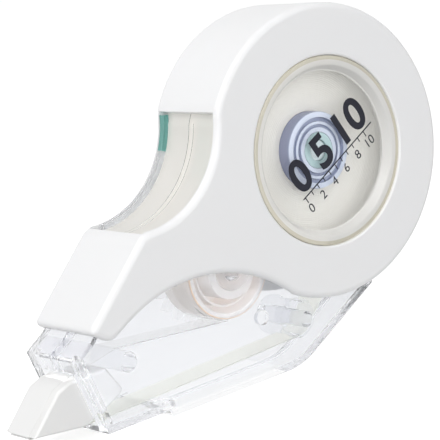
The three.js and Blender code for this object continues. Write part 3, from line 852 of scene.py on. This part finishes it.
@dataclass
class ClearCassette:
    """The two clear halves: side walls with their raised window lips, rim walls, posts, cheeks and nose."""

    outline: Outline
    sizes: Sizes
    edge: float = 0.35
    dish: float = 11.9
    dish_slope: float = 0.8
    lip_edge: float = 0.6
    lip_soft: float = 0.18
    seam: float = -0.3
    seam_lap: float = 1.3
    tongue: float = 0.45
    sink: float = 0.1
    opening: float = 8.0
    nose_band: float = 2.3
    cheek: float = 1.5
    pins: tuple[Point, ...] = ((-33.5, -8.6), (17.3, 3.2), (2.6, 17.4))
    pin: float = 0.9
    pin_reach: float = 2.0
    pin_floor: float = 0.6
    supply_post: float = 1.6
    take_up_post: float = 1.5
    post_edge: float = 0.2
    peg_edge: float = 0.15
    pin_edge: float = 0.1
    stub: float = 1.1
    stub_length: float = 0.8
    stub_centre: Point = (-16.0, -21.4)
    head_pin: float = 1.1
    head_pin_end: float = 1.0
    grip: float = 4.3
    grip_reach: float = 19.0
    rib: float = 0.2
    chevrons: tuple[Point, ...] = ((3.4, 1.3), (1.0, 0.9))
    flange_gap: float = 0.05
    flange_step: float = 0.02
    flange_break: float = 0.5
    band_steps: int = 40
    finger_lead: float = 2.5
    # teal_end is the heading from the finger centre where the painted teal glow stops.
    teal_end: float = -26.0
    bead: float = 1.1
    bead_groove: float = 0.09
    nose_shade_depth: float = 7.0
    hook: tuple[Point, ...] = ((-37.4, -29.0), (-34.6, -29.7), (-34.0, -29.7), (-34.0, -28.3), (-35.2, -27.9),
                               (-37.4, -28.5))
    hook_height: float = 2.0
    touch: float = 0.02
    slack: float = 0.05
    upright: float = 0.1
    mark_reach: Point = (4.0, 1.5)
    back_limits: Point = (0.2, -0.3)

    def __post_init__(self) -> None:
        """Works out the outline, the seam's lap, the nose's slope and where the finger hollow ends."""
        shape = self.outline
        self.points = shape.cassette()
        self.seam_start, self.seam_end = self.seam - self.seam_lap / 2, self.seam + self.seam_lap / 2
        self.slope = (Vector(shape.lead) - Vector(shape.nose_top)).normalized()
        wall = shape.hollow(shape.ring, shape.finger, shape.depth)
        self.first, self.last = heading(wall[0], shape.finger_centre), heading(wall[-1], shape.finger_centre)

    def dish_solid(self, side: int) -> Mesh:
        """Makes the raised lip, the cone and the flat disc that fill the cover's window."""
        sizes, soft, dish = self.sizes, self.lip_soft, self.dish
        top = sizes.cassette_half + sizes.lip_height
        outer, cone = self.outline.window - sizes.slip_fit, dish + self.dish_slope
        return lathe([
            (0.0, sizes.dish_inside), (dish + 0.2, sizes.dish_inside), (cone, sizes.inner_half),
            (outer, sizes.inner_half), (outer, top - soft), (outer - soft * 0.3, top - soft * 0.3),
            (outer - soft, top), (outer - self.lip_edge, top), (cone + soft, top),
            (cone + soft * 0.2, top - soft * 0.4), (cone - soft * 0.5, top - soft),
            (dish + soft, sizes.dish_face + soft * 0.6), (dish, sizes.dish_face), (0.0, sizes.dish_face),
        ], FINE_ROUND, side=side)

    def cheek_solid(self, side: int) -> Mesh:
        """Makes the thick cheek beside the head opening."""
        shape, sizes = self.outline, self.sizes
        top, foot = shape.nose_top, shape.foot
        points = [top, foot, (foot[0] + self.cheek, foot[1]), (top[0] + self.cheek, top[1] + self.cheek / 3)]
        block = prism(points, *sorted((side * self.opening / 2, side * (sizes.inner_half + self.sink))))
        bound = prism(self.points, *sorted((0.0, side * sizes.cassette_half)))
        return combine(block, [(Solid.SHARE, bound)])

    def head_opening(self) -> Mesh:
        """Makes the tool that cuts the head's opening through the front wall."""
        top, foot = self.outline.nose_top, self.outline.foot
        behind = self.sizes.wall + self.outline.cover_fit
        ends = []
        for height in (top[1] - self.nose_band, foot[1] + self.sizes.wall):
            ends.append((top[0] + (foot[0] - top[0]) * ((height - top[1]) / (foot[1] - top[1])), height))
        left, right = [[(x + offset, z) for x, z in ends] for offset in (-behind, behind)]
        return prism([*left, *right[::-1]], -self.opening / 2, self.opening / 2)

    def chevron(self, reach: float, size: float) -> list[Mesh]:
        """Makes the two raised bars of a chevron on the nose's sloping face.

        Args:
            reach: How far its point lies up the slope from the nose's edge.
            size: How far each bar runs aside.

        Returns:
            The bars.
        """
        foot, slope, rib = Vector(self.outline.nose_top), self.slope, self.rib
        proud = Vector((-slope.y, slope.x))
        bars = []
        for side in (-1, 1):
            verts = []
            for along, across in ((reach, 0.0), (reach - size, side * size)):
                for width, height in ((0.0, -rib), (0.0, rib), (-rib, -rib), (-rib, rib)):
                    point = foot + slope * (along + width) + proud * height
                    verts.append(place(point.x, across, point.y))
            faces = [(0, 1, 3, 2), (4, 6, 7, 5), (0, 4, 5, 1), (1, 5, 7, 3), (3, 7, 6, 2), (2, 6, 4, 0)]
            bars.append(mesh_of(verts, faces))
        return bars

    def finger_band(self, radii: Point, sides: Point, span: Point) -> Mesh:
        """Makes a band along the finger hollow.

        Args:
            radii: Its outer and inner radius from the hollow's centre.
            sides: Its near and far side along y.
            span: Its first and last heading from the hollow's centre.

        Returns:
            The mesh.
        """
        centre, steps, (outer, inner), (start, end) = self.outline.finger_centre, self.band_steps, radii, span
        return prism([*arc(centre, outer, end, start, steps), *arc(centre, inner, start, end, steps)], *sides)

    def side_steps(self, side: int) -> list[tuple[Solid, Mesh]]:
        """Gives the steps that clear a side wall behind the cone and fit its dish and its cheek."""
        ends = self.sizes.inner_half - CUT_PAST, self.sizes.cassette_half + CUT_PAST
        hole = rod(self.dish + self.dish_slope / 2, *sorted(side * y for y in ends), segments=FINE_ROUND)
        return [(Solid.CUT, hole), (Solid.JOIN, self.dish_solid(side)), (Solid.JOIN, self.cheek_solid(side))]

    def near_half(self) -> Mesh:
        """Builds the near half, whose skin laps over the far half's tongue."""
        sizes, points, wall, groove = self.sizes, self.points, self.outline.finger_wall, self.bead_groove
        inside, bead, root = -sizes.inner_half, self.seam_end - self.bead, -sizes.inner_half - self.sink
        rebate = inset(points, sizes.wall - self.tongue - sizes.slip_fit)
        hole, *fittings = self.side_steps(-1)
        whole = prism(points, -sizes.cassette_half, self.seam_end - sizes.slip_fit, (self.edge, 0.0),
                      bands=[-self.grip])
        steps = [
            (Solid.CUT, prism(inset(points, sizes.wall), inside, 1.0)),
            (Solid.CUT, prism(rebate, self.seam_start, 1.0)),
            hole,
            (Solid.CUT, self.finger_band((wall + groove, wall - CUT_PAST / 2), (bead - groove, bead),
                                         (self.first + self.finger_lead, self.last))),
            *fittings,
            (Solid.JOIN, rod(self.stub, root, inside + self.stub_length, self.stub_centre, self.pin_edge)),
        ]
        for centre in self.pins:
            steps.append((Solid.JOIN, rod(2 * self.pin, root, self.seam, centre, self.pin_edge)))
            steps.append((Solid.CUT, rod(self.pin + sizes.running, inside + self.pin_floor,
                                         self.seam + CUT_PAST, centre)))
        steps.append((Solid.CUT, self.head_opening()))
        steps.append((Solid.JOIN, prism(self.hook, root, inside + self.hook_height)))
        return merge(combine(whole, steps), *[bar for pair in self.chevrons for bar in self.chevron(*pair)])

    def far_half(self) -> Mesh:
        """Builds the far half, which carries the posts."""
        sizes, points, shape, step = self.sizes, self.points, self.outline, self.flange_step
        root, inside, outside = sizes.inner_half + self.sink, sizes.inner_half, sizes.cassette_half
        wall, lip = shape.finger_wall + self.sink, shape.finger + self.flange_gap
        posts = []
        for centre, post, boss in ((ORIGIN, self.supply_post, sizes.boss),
                                   (sizes.take_up, self.take_up_post, sizes.drum_boss)):
            posts += [rod(post, sizes.spool_front + sizes.seat_gap, root, centre, self.post_edge),
                      rod(boss, sizes.gear_back + sizes.slip_fit, root, centre)]
        for centre, radius in ((sizes.roller_centre, sizes.roller_post), (sizes.peg_centre, sizes.peg)):
            posts.append(rod(radius, sizes.seat_gap - inside, root, centre, self.peg_edge))
        posts.append(rod(self.head_pin, self.head_pin_end, root, sizes.head_pin_centre, self.pin_edge))
        posts += [rod(self.pin, self.seam - self.pin_reach, root, centre, self.pin_edge)
                  for centre in self.pins]
        return combine(prism(points, self.seam_end, outside, (0.0, self.edge), bands=[self.grip]), [
            (Solid.JOIN, prism(inset(points, sizes.wall - self.tongue), self.seam_start + sizes.slip_fit,
                               self.seam_end + self.sink)),
            (Solid.CUT, prism(inset(points, sizes.wall), -2.0, inside)),
            *self.side_steps(1),
            (Solid.JOIN, self.finger_band((wall, lip), (inside, outside),
                                          (self.first - self.finger_lead, self.teal_end))),
            (Solid.JOIN, self.finger_band((wall, lip + step), (inside + step, outside - step),
                                          (self.teal_end + self.flange_break, self.last))),
            *[(Solid.JOIN, post) for post in posts],
            (Solid.CUT, self.head_opening()),
        ])

    def on_post(self, spot: Point) -> bool:
        """Tells whether a place lies on a post that shows through the side wall."""
        sizes = self.sizes
        posts = ((sizes.peg_centre, sizes.peg), (sizes.roller_centre, sizes.roller_post),
                 (sizes.take_up, sizes.drum_boss), (sizes.head_pin_centre, self.head_pin),
                 (self.stub_centre, self.stub))
        return any(math.dist(spot, centre) < radius + self.slack for centre, radius in posts)

    def finish_of(self, centre: Vector, normal: Vector) -> Finish:
        """Chooses the finish of a face.

        Args:
            centre: The face's middle from the supply axis, in millimetres.
            normal: The direction out of the face.

        Returns:
            Its finish.
        """
        sizes, shape, touch, spot = self.sizes, self.outline, self.touch, Vector((centre.x, centre.z))
        across, radius, lip = abs(centre.y), spot.length, shape.window - sizes.slip_fit
        # The lip's outer edge gets the olive painted shade.
        if across > sizes.cassette_half and lip - self.lip_edge < radius < lip + touch:
            return LIP_EDGE_PAINTED_SHADE
        if across > sizes.dish_face + touch / 2 and self.dish < radius < lip:
            return CLEAR_LIP
        if min(abs(across - sizes.dish_face), abs(across - sizes.dish_inside)) < touch and radius < self.dish:
            return CLEAR_WINDOW
        to_finger = Vector(shape.finger_centre) - spot
        # The far finger wall's edge gets the painted teal glow on one side of teal_end and the hazy finish on
        # the other.
        if to_finger.length < shape.finger_wall - self.slack and across > sizes.inner_half - 2 * self.slack:
            return CLEAR_TEAL_PAINTED_GLOW if heading(spot, shape.finger_centre) > self.teal_end else CLEAR_BORDER
        if radius < self.supply_post + self.slack and centre.y < 0:
            return CLEAR_POST
        if across < sizes.inner_half - touch and self.on_post(spot):
            return CLEAR_MARK
        offset, (ahead, aside) = spot - Vector(shape.nose_top), self.mark_reach
        if offset.x < ahead and offset.y > 0 and across < aside and self.slope.cross(offset) > self.rib / 2:
            return CLEAR_MARK
        if abs(normal.y) < self.upright:
            # Back-facing walls inside the nose get the grey painted shade.
            facing_back = normal.x > self.back_limits[0] and normal.z < self.back_limits[1]
            if facing_back and offset.x < self.nose_shade_depth and across < sizes.inner_half:
                return NOSE_PAINTED_SHADE
            if to_finger.length < self.grip_reach and to_finger.dot(Vector((normal.x, normal.z))) > 0:
                return CLEAR_GRIP
        return CLEAR_SHELL

    def build(self, shop: Workshop) -> None:
        """Builds the two halves."""
        finishes = [CLEAR_SHELL, LIP_EDGE_PAINTED_SHADE, CLEAR_LIP, CLEAR_GRIP, CLEAR_TEAL_PAINTED_GLOW, CLEAR_WINDOW, CLEAR_POST,
                    CLEAR_MARK, CLEAR_BORDER, NOSE_PAINTED_SHADE]
        for name, mesh, node in (("cassette_near_half", self.near_half(), "cassette_front"),
                                 ("cassette_far_half", self.far_half(), "cassette_back")):
            shop.piece(name, mesh, finishes, Body.SHELL, [node], self.finish_of)


@dataclass
class Spools:
    """The supply core, its roll, the take-up drum and the roller, with the gears kept from the frame."""

    sizes: Sizes
    core: float = 5.8
    core_wall: float = 1.2
    groove: float = 0.45
    wound_fit: float = 0.05
    roll_relief: float = 0.035
    roll_waves: tuple[Spot, ...] = ((0.02, 2.1, 0.0), (0.015, 5.3, 1.0))
    roll_steps: int = 22
    drum_wall: float = 0.85
    drum_hub: float = 4.2
    drum_floor: float = 1.0
    drum_ring: Point = (5.15, 5.45)
    roller_length: float = 6.4
    roller_flange: float = 0.35
    segments: int = 96
    roll_segments: int = 128
    roller_segments: int = 64

    def core_mesh(self) -> Mesh:
        """Builds the supply core with its stepped face."""
        core, bore, shaft = self.core, self.core - self.core_wall, self.sizes.boss + self.sizes.running
        front, back = self.sizes.spool_front, self.sizes.gear_front - self.sizes.seat_gap
        sunk = front + self.groove
        return lathe([
            (shaft, front), (shaft + 0.65, front), (shaft + 0.7, sunk), (bore - 0.75, sunk),
            (bore - 0.7, front + 0.1), (bore - 0.3, front + 0.1), (bore - 0.25, sunk), (bore + 0.3, sunk),
            (bore + 0.35, front), (core - 0.25, front), (core - 0.07, front + 0.07), (core, front + 0.25),
            (core, back), (bore, back), (bore, front + 1.0), (shaft, front + 1.0),
        ], self.segments)

    def core_finish(self, centre: Vector, _: Vector) -> Finish:
        """Chooses the finish of a face of the core by its middle: painted highlight on the front faces,
        painted shade on the outer wall, and its own blue elsewhere.
        """
        depth = centre.y - self.sizes.spool_front
        if math.hypot(centre.x, centre.z) > self.core - 0.02 and depth > 0.2:
            return CORE_PAINTED_SHADE
        return CORE_PAINTED_HIGHLIGHT if depth < 0.15 else BLUE_CORE

    def roll_mesh(self) -> Mesh:
        """Builds the wound tape, whose sides are a little uneven from layer to layer."""
        half, inner = self.sizes.tape_half, self.core + self.wound_fit
        near = []
        for k in range(self.roll_steps + 1):
            wave = sum(size * math.sin(rate * k + start) for size, rate, start in self.roll_waves)
            radius = inner + (self.sizes.roll - inner) * k / self.roll_steps
            near.append((radius, -half + self.roll_relief + wave))
        return lathe(mirrored(near), self.roll_segments)

    def drum_mesh(self) -> Mesh:
        """Builds the take-up drum: a rim, a recess with a floor and a ring, and a hub."""
        sizes, drum, hub, (ring_in, ring_out) = self.sizes, self.sizes.drum, self.drum_hub, self.drum_ring
        front, back = sizes.spool_front + sizes.seat_gap, sizes.gear_front - sizes.slip_fit
        shaft, inside, floor = sizes.drum_boss + sizes.running, drum - self.drum_wall, back - self.drum_floor
        return lathe([
            (shaft, front), (hub - 0.1, front), (hub, front + 0.1), (hub, floor), (ring_in, floor),
            (ring_in, front + 1.6), (ring_out, front + 1.6), (ring_out, floor), (inside, floor),
            (inside, front + 0.9), (inside + 0.1, front + 0.8), (drum - 0.2, front + 0.8),
            (drum - 0.06, front + 0.86), (drum, front + 1.0), (drum, back), (shaft, back),
        ], self.segments, sizes.take_up)

    def drum_finish(self, centre: Vector, _: Vector) -> Finish:
        """Chooses the finish of a face of the drum by its middle: a peach rim with painted glow, a clearer
        copy as painted light on the shaded outer wall, and painted shade on the recess floor.
        """
        reach = math.dist((centre.x, centre.z), self.sizes.take_up)
        depth = centre.y - self.sizes.spool_front
        if reach > self.sizes.drum - 0.25:
            return PEACH_EDGE_AND_PAINTED_GLOW if depth < 1.35 else DRUM_WALL_PAINTED_LIGHT
        return DRUM_FLOOR_PAINTED_SHADE if depth > 2.0 and reach > self.drum_hub + 0.1 else PALE_DRUM

    def gear_finish(self, centre: Vector, _: Vector) -> Finish:
        """Chooses the finish of a face of the supply gear by its middle; the boss's front gets painted light,
        for the white look of the clear post's end.
        """
        on_boss = math.hypot(centre.x, centre.z) < self.sizes.boss + 0.2 and centre.y < 0
        return TEAL_BOSS_PAINTED_LIGHT if on_boss else TEAL_GEAR

    def roller_mesh(self) -> Mesh:
        """Builds the flanged guide roller."""
        sizes, half, edge = self.sizes, self.roller_length / 2, self.sizes.tape_half + 0.1
        flange, bore = sizes.roller + self.roller_flange, sizes.roller_post + sizes.running
        near = [(bore, -half), (flange - 0.1, -half), (flange, 0.1 - half), (flange, -edge),
                (sizes.roller, 0.05 - edge)]
        return lathe(mirrored(near), self.roller_segments, sizes.roller_centre)

    def liner_mesh(self) -> Mesh:
        """Builds the first turns of spent liner on the drum."""
        half, drum = self.sizes.tape_half, self.sizes.drum
        near = [(drum + self.wound_fit, -half), (drum + self.sizes.liner, 0.03 - half)]
        return lathe(mirrored(near), self.segments, self.sizes.take_up)

    def build(self, shop: Workshop) -> None:
        """Builds the spools and finishes the gears."""
        shop.piece("core_moulding", self.core_mesh(), [BLUE_CORE, CORE_PAINTED_HIGHLIGHT, CORE_PAINTED_SHADE], Body.SPOOL,
                   ["supply_core"], self.core_finish)
        shop.piece("wound_tape_roll", self.roll_mesh(), [TAPE_ROLL], Body.SPOOL,
                   ["supply_tape_roll"])
        shop.piece("reel_drum", self.drum_mesh(), [PALE_DRUM, PEACH_EDGE_AND_PAINTED_GLOW, DRUM_FLOOR_PAINTED_SHADE, DRUM_WALL_PAINTED_LIGHT], Body.REEL,
                   ["take_up_drum"], self.drum_finish)
        shop.piece("spent_liner_turns", self.liner_mesh(), [LINER_FILM], Body.REEL,
                   ["take_up_liner"])
        shop.piece("tape_roller", self.roller_mesh(), [CLEAR_ROLLER], Body.ROLLER,
                   ["guide_roller"])
        shop.finish_node("supply_gear", [TEAL_GEAR, TEAL_BOSS_PAINTED_LIGHT], self.gear_finish)
        shop.finish_node("clutch_ring", [GREY_RUBBER])
        shop.finish_node("take_up_gear", [WHITE_REEL])


@dataclass
class TapeRun:
    """The coated tape from the roll to the head's tip, and the liner back to the drum."""

    sizes: Sizes
    thickness: float = 0.15
    gap: float = 0.1
    wrap: float = 17.0
    on_head: float = -49.8
    roller_steps: int = 14
    peg_steps: int = 8

    def __post_init__(self) -> None:
        """Works out how far the film's middle lies off what it runs over."""
        self.rise = self.thickness / 2 + self.gap

    def ribbon(self, path: Sequence[Point]) -> Mesh:
        """Sweeps the tape's section along a path."""
        left, right = [], []
        for i, point in enumerate(path):
            before, after = Vector(path[max(0, i - 1)]), Vector(path[min(len(path) - 1, i + 1)])
            along = (after - before).normalized()
            across = Vector((-along.y, along.x)) * (self.thickness / 2)
            left.append(tuple(Vector(point) + across))
            right.append(tuple(Vector(point) - across))
        return prism([*right, *left[::-1]], -self.sizes.tape_half, self.sizes.tape_half)

    def feed_path(self) -> list[Point]:
        """Gives the path from the roll round the roller and under the head."""
        sizes, rise, centre = self.sizes, self.rise, self.sizes.roller_centre
        roll, roller = sizes.roll + rise, sizes.roller + rise
        tip, sole = [(x, z - rise) for x, z in sizes.head[:2]]
        span = math.dist(centre, ORIGIN)
        leave = heading(ORIGIN, centre) - math.degrees(math.acos((roller - roll) / span))
        meet = heading(sole, centre) + math.degrees(math.acos(roller / math.dist(sole, centre)))
        return [polar(roll, leave), *arc(centre, roller, leave, meet, self.roller_steps), sole, tip]

    def return_path(self) -> list[Point]:
        """Gives the path from the drum round the peg and over the head."""
        sizes, rise, centre = self.sizes, self.rise, self.sizes.peg_centre
        peg, drum = sizes.peg + rise, sizes.drum + sizes.liner + rise
        span = math.dist(sizes.take_up, centre)
        leave = heading(sizes.take_up, centre) + math.degrees(math.acos((peg + drum) / span))
        crown, brow, tip = *sizes.head[-2:], sizes.head[0]
        up = rise * math.sqrt(0.5)
        return [polar(drum, leave + 180, sizes.take_up),
                *arc(centre, peg, leave, leave + self.wrap, self.peg_steps),
                (crown[0] - self.gap, crown[1] + rise), *[(x - up, z + up) for x, z in (brow, tip)]]

    def build(self, shop: Workshop) -> None:
        """Builds both runs, each with an opaque finish on the head."""
        for name, path, film, slot, node in (
                ("coated_tape_run", self.feed_path(), TAPE_FILM, "coated_tape", "feed_tape"),
                ("liner_return_run", self.return_path(), LINER_FILM, "liner_film", "return_liner")):
            shop.piece(name, self.ribbon(path), [film, HEAD_TAPE], Body.SHELL, [node],
                       lambda centre, _: HEAD_TAPE if centre.x < self.on_head else film)


@dataclass
class TransferHead:
    """The white wedge that presses the tape down."""

    sizes: Sizes
    half: float = 3.8
    pin: float = 1.16
    pin_end: float = 0.8
    edge: float = 0.45
    corner: float = 0.3
    edge_steps: int = 6
    corner_turn: float = 24.0

    def build(self, shop: Workshop) -> None:
        """Builds the head."""
        points = soften(self.sizes.head, self.corner, self.corner_turn)
        whole = prism(points, -self.half, self.half, (self.edge, self.edge), self.edge_steps)
        hole = rod(self.pin, self.pin_end, self.half + CUT_PAST, self.sizes.head_pin_centre)
        mesh = combine(whole, [(Solid.CUT, hole)])
        shop.piece("head_wedge", mesh, [HEAD_PLASTIC], Body.SHELL, ["transfer_head"])


@dataclass
class Gauge:
    """The printed scale on the window's disc: a slanting rule with ticks and plain numbers from 0 to 10."""

    sizes: Sizes
    start: Point = (-5.2, -6.35)
    end: Point = (10.2, 2.0)
    ink: float = 0.02
    lift: float = 0.004
    line: float = 0.2
    tick: float = 0.16
    tick_heights: Point = (0.75, 1.0)
    divisions: int = 10
    first: float = 0.5
    margin: float = 2.6
    small: float = 1.45
    small_drop: float = 1.25
    tall: float = 5.0
    tall_rise: float = 0.75
    tall_bold: float = 0.2
    tall_numbers: tuple[tuple[str, float], ...] = (("0", 1.9), ("5", 7.4), ("10", 14.0))
    digit_share: float = 0.7
    digit_steps: int = 6

    def __post_init__(self) -> None:
        """Works out where the print lies, just off the disc."""
        self.face = -self.sizes.dish_face - self.lift

    def on_rule(self, along: float, up: float) -> Point:
        """Turns a place along and above the rule into a point of the disc."""
        unit = (Vector(self.end) - Vector(self.start)).normalized()
        return tuple(Vector(self.start) + unit * along + unit.orthogonal() * up)

    def bar(self, low: Point, high: Point) -> Mesh:
        """Makes a thin printed bar between two corners, in the rule's own directions."""
        corners = [self.on_rule(*c) for c in (low, (high[0], low[1]), high, (low[0], high[1]))]
        return prism(corners, self.face - self.ink, self.face)

    def number(self, text: str, along: float, up: float, height: float, bold: float = 0.0) -> Mesh:
        """Makes a printed number.

        Args:
            text: The number.
            along: Where its middle stands along the rule.
            up: Where its foot stands above the rule.
            height: How tall it is.
            bold: How much its strokes are thickened.

        Returns:
            The mesh, in place.
        """
        curve = bpy.data.curves.new("work_text", "FONT")
        curve.body, curve.align_x = text, "CENTER"
        curve.size = height / self.digit_share
        curve.extrude, curve.offset = self.ink / 2, bold
        curve.resolution_u = self.digit_steps
        mesh = applied(link("work_text", curve))
        for vert in mesh.vertices:
            x, z = self.on_rule(along + vert.co.x, up + vert.co.y)
            vert.co = place(x, self.face - self.ink / 2 - vert.co.z, z)
        return weld(mesh, TEXT_GRAIN)

    def build(self, shop: Workshop) -> None:
        """Builds the print as one piece."""
        length = math.dist(self.start, self.end)
        parts = [self.bar((0.0, -self.line / 2), (length, self.line / 2))]
        for k in range(self.divisions + 1):
            along = self.first + (length - self.margin) * k / self.divisions
            height = self.tick_heights[k % 5 == 0]
            parts.append(self.bar((along - self.tick / 2, -height), (along + self.tick / 2, 0.0)))
            if k % 2 == 0:
                parts.append(self.number(str(k), along, -self.small_drop - self.small, self.small))
        for text, along in self.tall_numbers:
            parts.append(self.number(text, along, self.tall_rise, self.tall, self.tall_bold))
        shop.piece("gauge_print", merge(*parts), [BLACK_INK], Body.SHELL)


@dataclass
class Studio:
    """The floor, the lamps, the world and the camera."""

    lens: float = 158.1
    clip: Point = (0.01, 50.0)
    eye: Spot = (-0.16500, -0.22408, 0.07991)
    right: Spot = (0.77301, -0.61278, -0.16419)
    up: Spot = (0.25069, 0.05732, 0.96637)
    forward: Spot = (0.58276, 0.78817, -0.19793)
    aim: Spot = (-0.005, 0.0, 0.025)
    ambient: float = 0.44
    floor_half: float = 8.0
    bounces: int = 32
    lamps: tuple = (("key", (-0.45, -0.14, 0.68), 0.5, 3.5), ("fill", (0.3, -0.7, 0.25), 0.8, 1.2),
                    ("side", (-0.45, -0.6, 0.15), 0.5, 1.65))

    def camera(self) -> None:
        """Stands the camera where the photograph was taken from."""
        data = bpy.data.cameras.new("camera")
        data.lens, (data.clip_start, data.clip_end) = self.lens, self.clip
        made = link("camera", data)
        turn = Matrix((self.right, self.up, -Vector(self.forward))).transposed()
        made.matrix_world = Matrix.Translation(self.eye) @ turn.to_4x4()
        bpy.context.scene.camera = made

    def floor(self) -> None:
        """Lays the floor."""
        mesh, size = bpy.data.meshes.new("floor"), self.floor_half
        mesh.from_pydata([(-size, -size, 0), (size, -size, 0), (size, size, 0), (-size, size, 0)], [],
                         [(0, 1, 2, 3)])
        mesh.materials.append(Backdrop("pale_floor").make())
        made = link("floor", mesh)

    def lamp(self, name: str, spot: Spot, size: float, power: float) -> None:
        """Hangs a soft square lamp that points at the part."""
        data = bpy.data.lights.new(name, "AREA")
        data.size, data.energy = size, power
        made = link(name, data)
        made.location = spot
        made.rotation_euler = (Vector(self.aim) - Vector(spot)).to_track_quat("-Z", "Y").to_euler()

    def world(self) -> None:
        """Makes the world: plain light on the part, and white behind it."""
        world = bpy.data.worlds.new("studio")
        world.use_nodes = True
        nodes = Nodes(world.node_tree)
        path = nodes.add("ShaderNodeLightPath")
        seen = nodes.math("MAXIMUM", path["Is Camera Ray"], path["Is Transmission Ray"])
        seen = nodes.math("MAXIMUM", seen, path["Is Glossy Ray"])
        strength = nodes.math("ADD", nodes.math("MULTIPLY", seen, 1.0 - self.ambient), self.ambient)
        back = nodes.add("ShaderNodeBackground", {"Color": (*WHITE, 1.0), "Strength": strength})
        nodes.add("ShaderNodeOutputWorld", {0: back[0]})
        bpy.context.scene.world = world

    def build(self) -> None:
        """Sets the studio up."""
        scene = bpy.context.scene
        scene.view_settings.view_transform = "Standard"
        scene.cycles.max_bounces = scene.cycles.transmission_bounces = self.bounces
        scene.cycles.transparent_max_bounces = self.bounces
        scene.cycles.glossy_bounces = self.bounces // 2
        self.camera()
        self.floor()
        self.world()
        for lamp in self.lamps:
            self.lamp(*lamp)


def main() -> None:
    """Builds the part's pieces in order, then the studio."""
    logging.basicConfig(level=logging.INFO, format="%(name)s: %(message)s")
    shop, outline, sizes = Workshop(), Outline(), Sizes()
    WhiteCover(outline).build(shop)
    ClearCassette(outline, sizes).build(shop)
    Spools(sizes).build(shop)
    TapeRun(sizes).build(shop)
    TransferHead(sizes).build(shop)
    Gauge(sizes).build(shop)
    Studio().build()


if __name__ == "__main__":
    main()
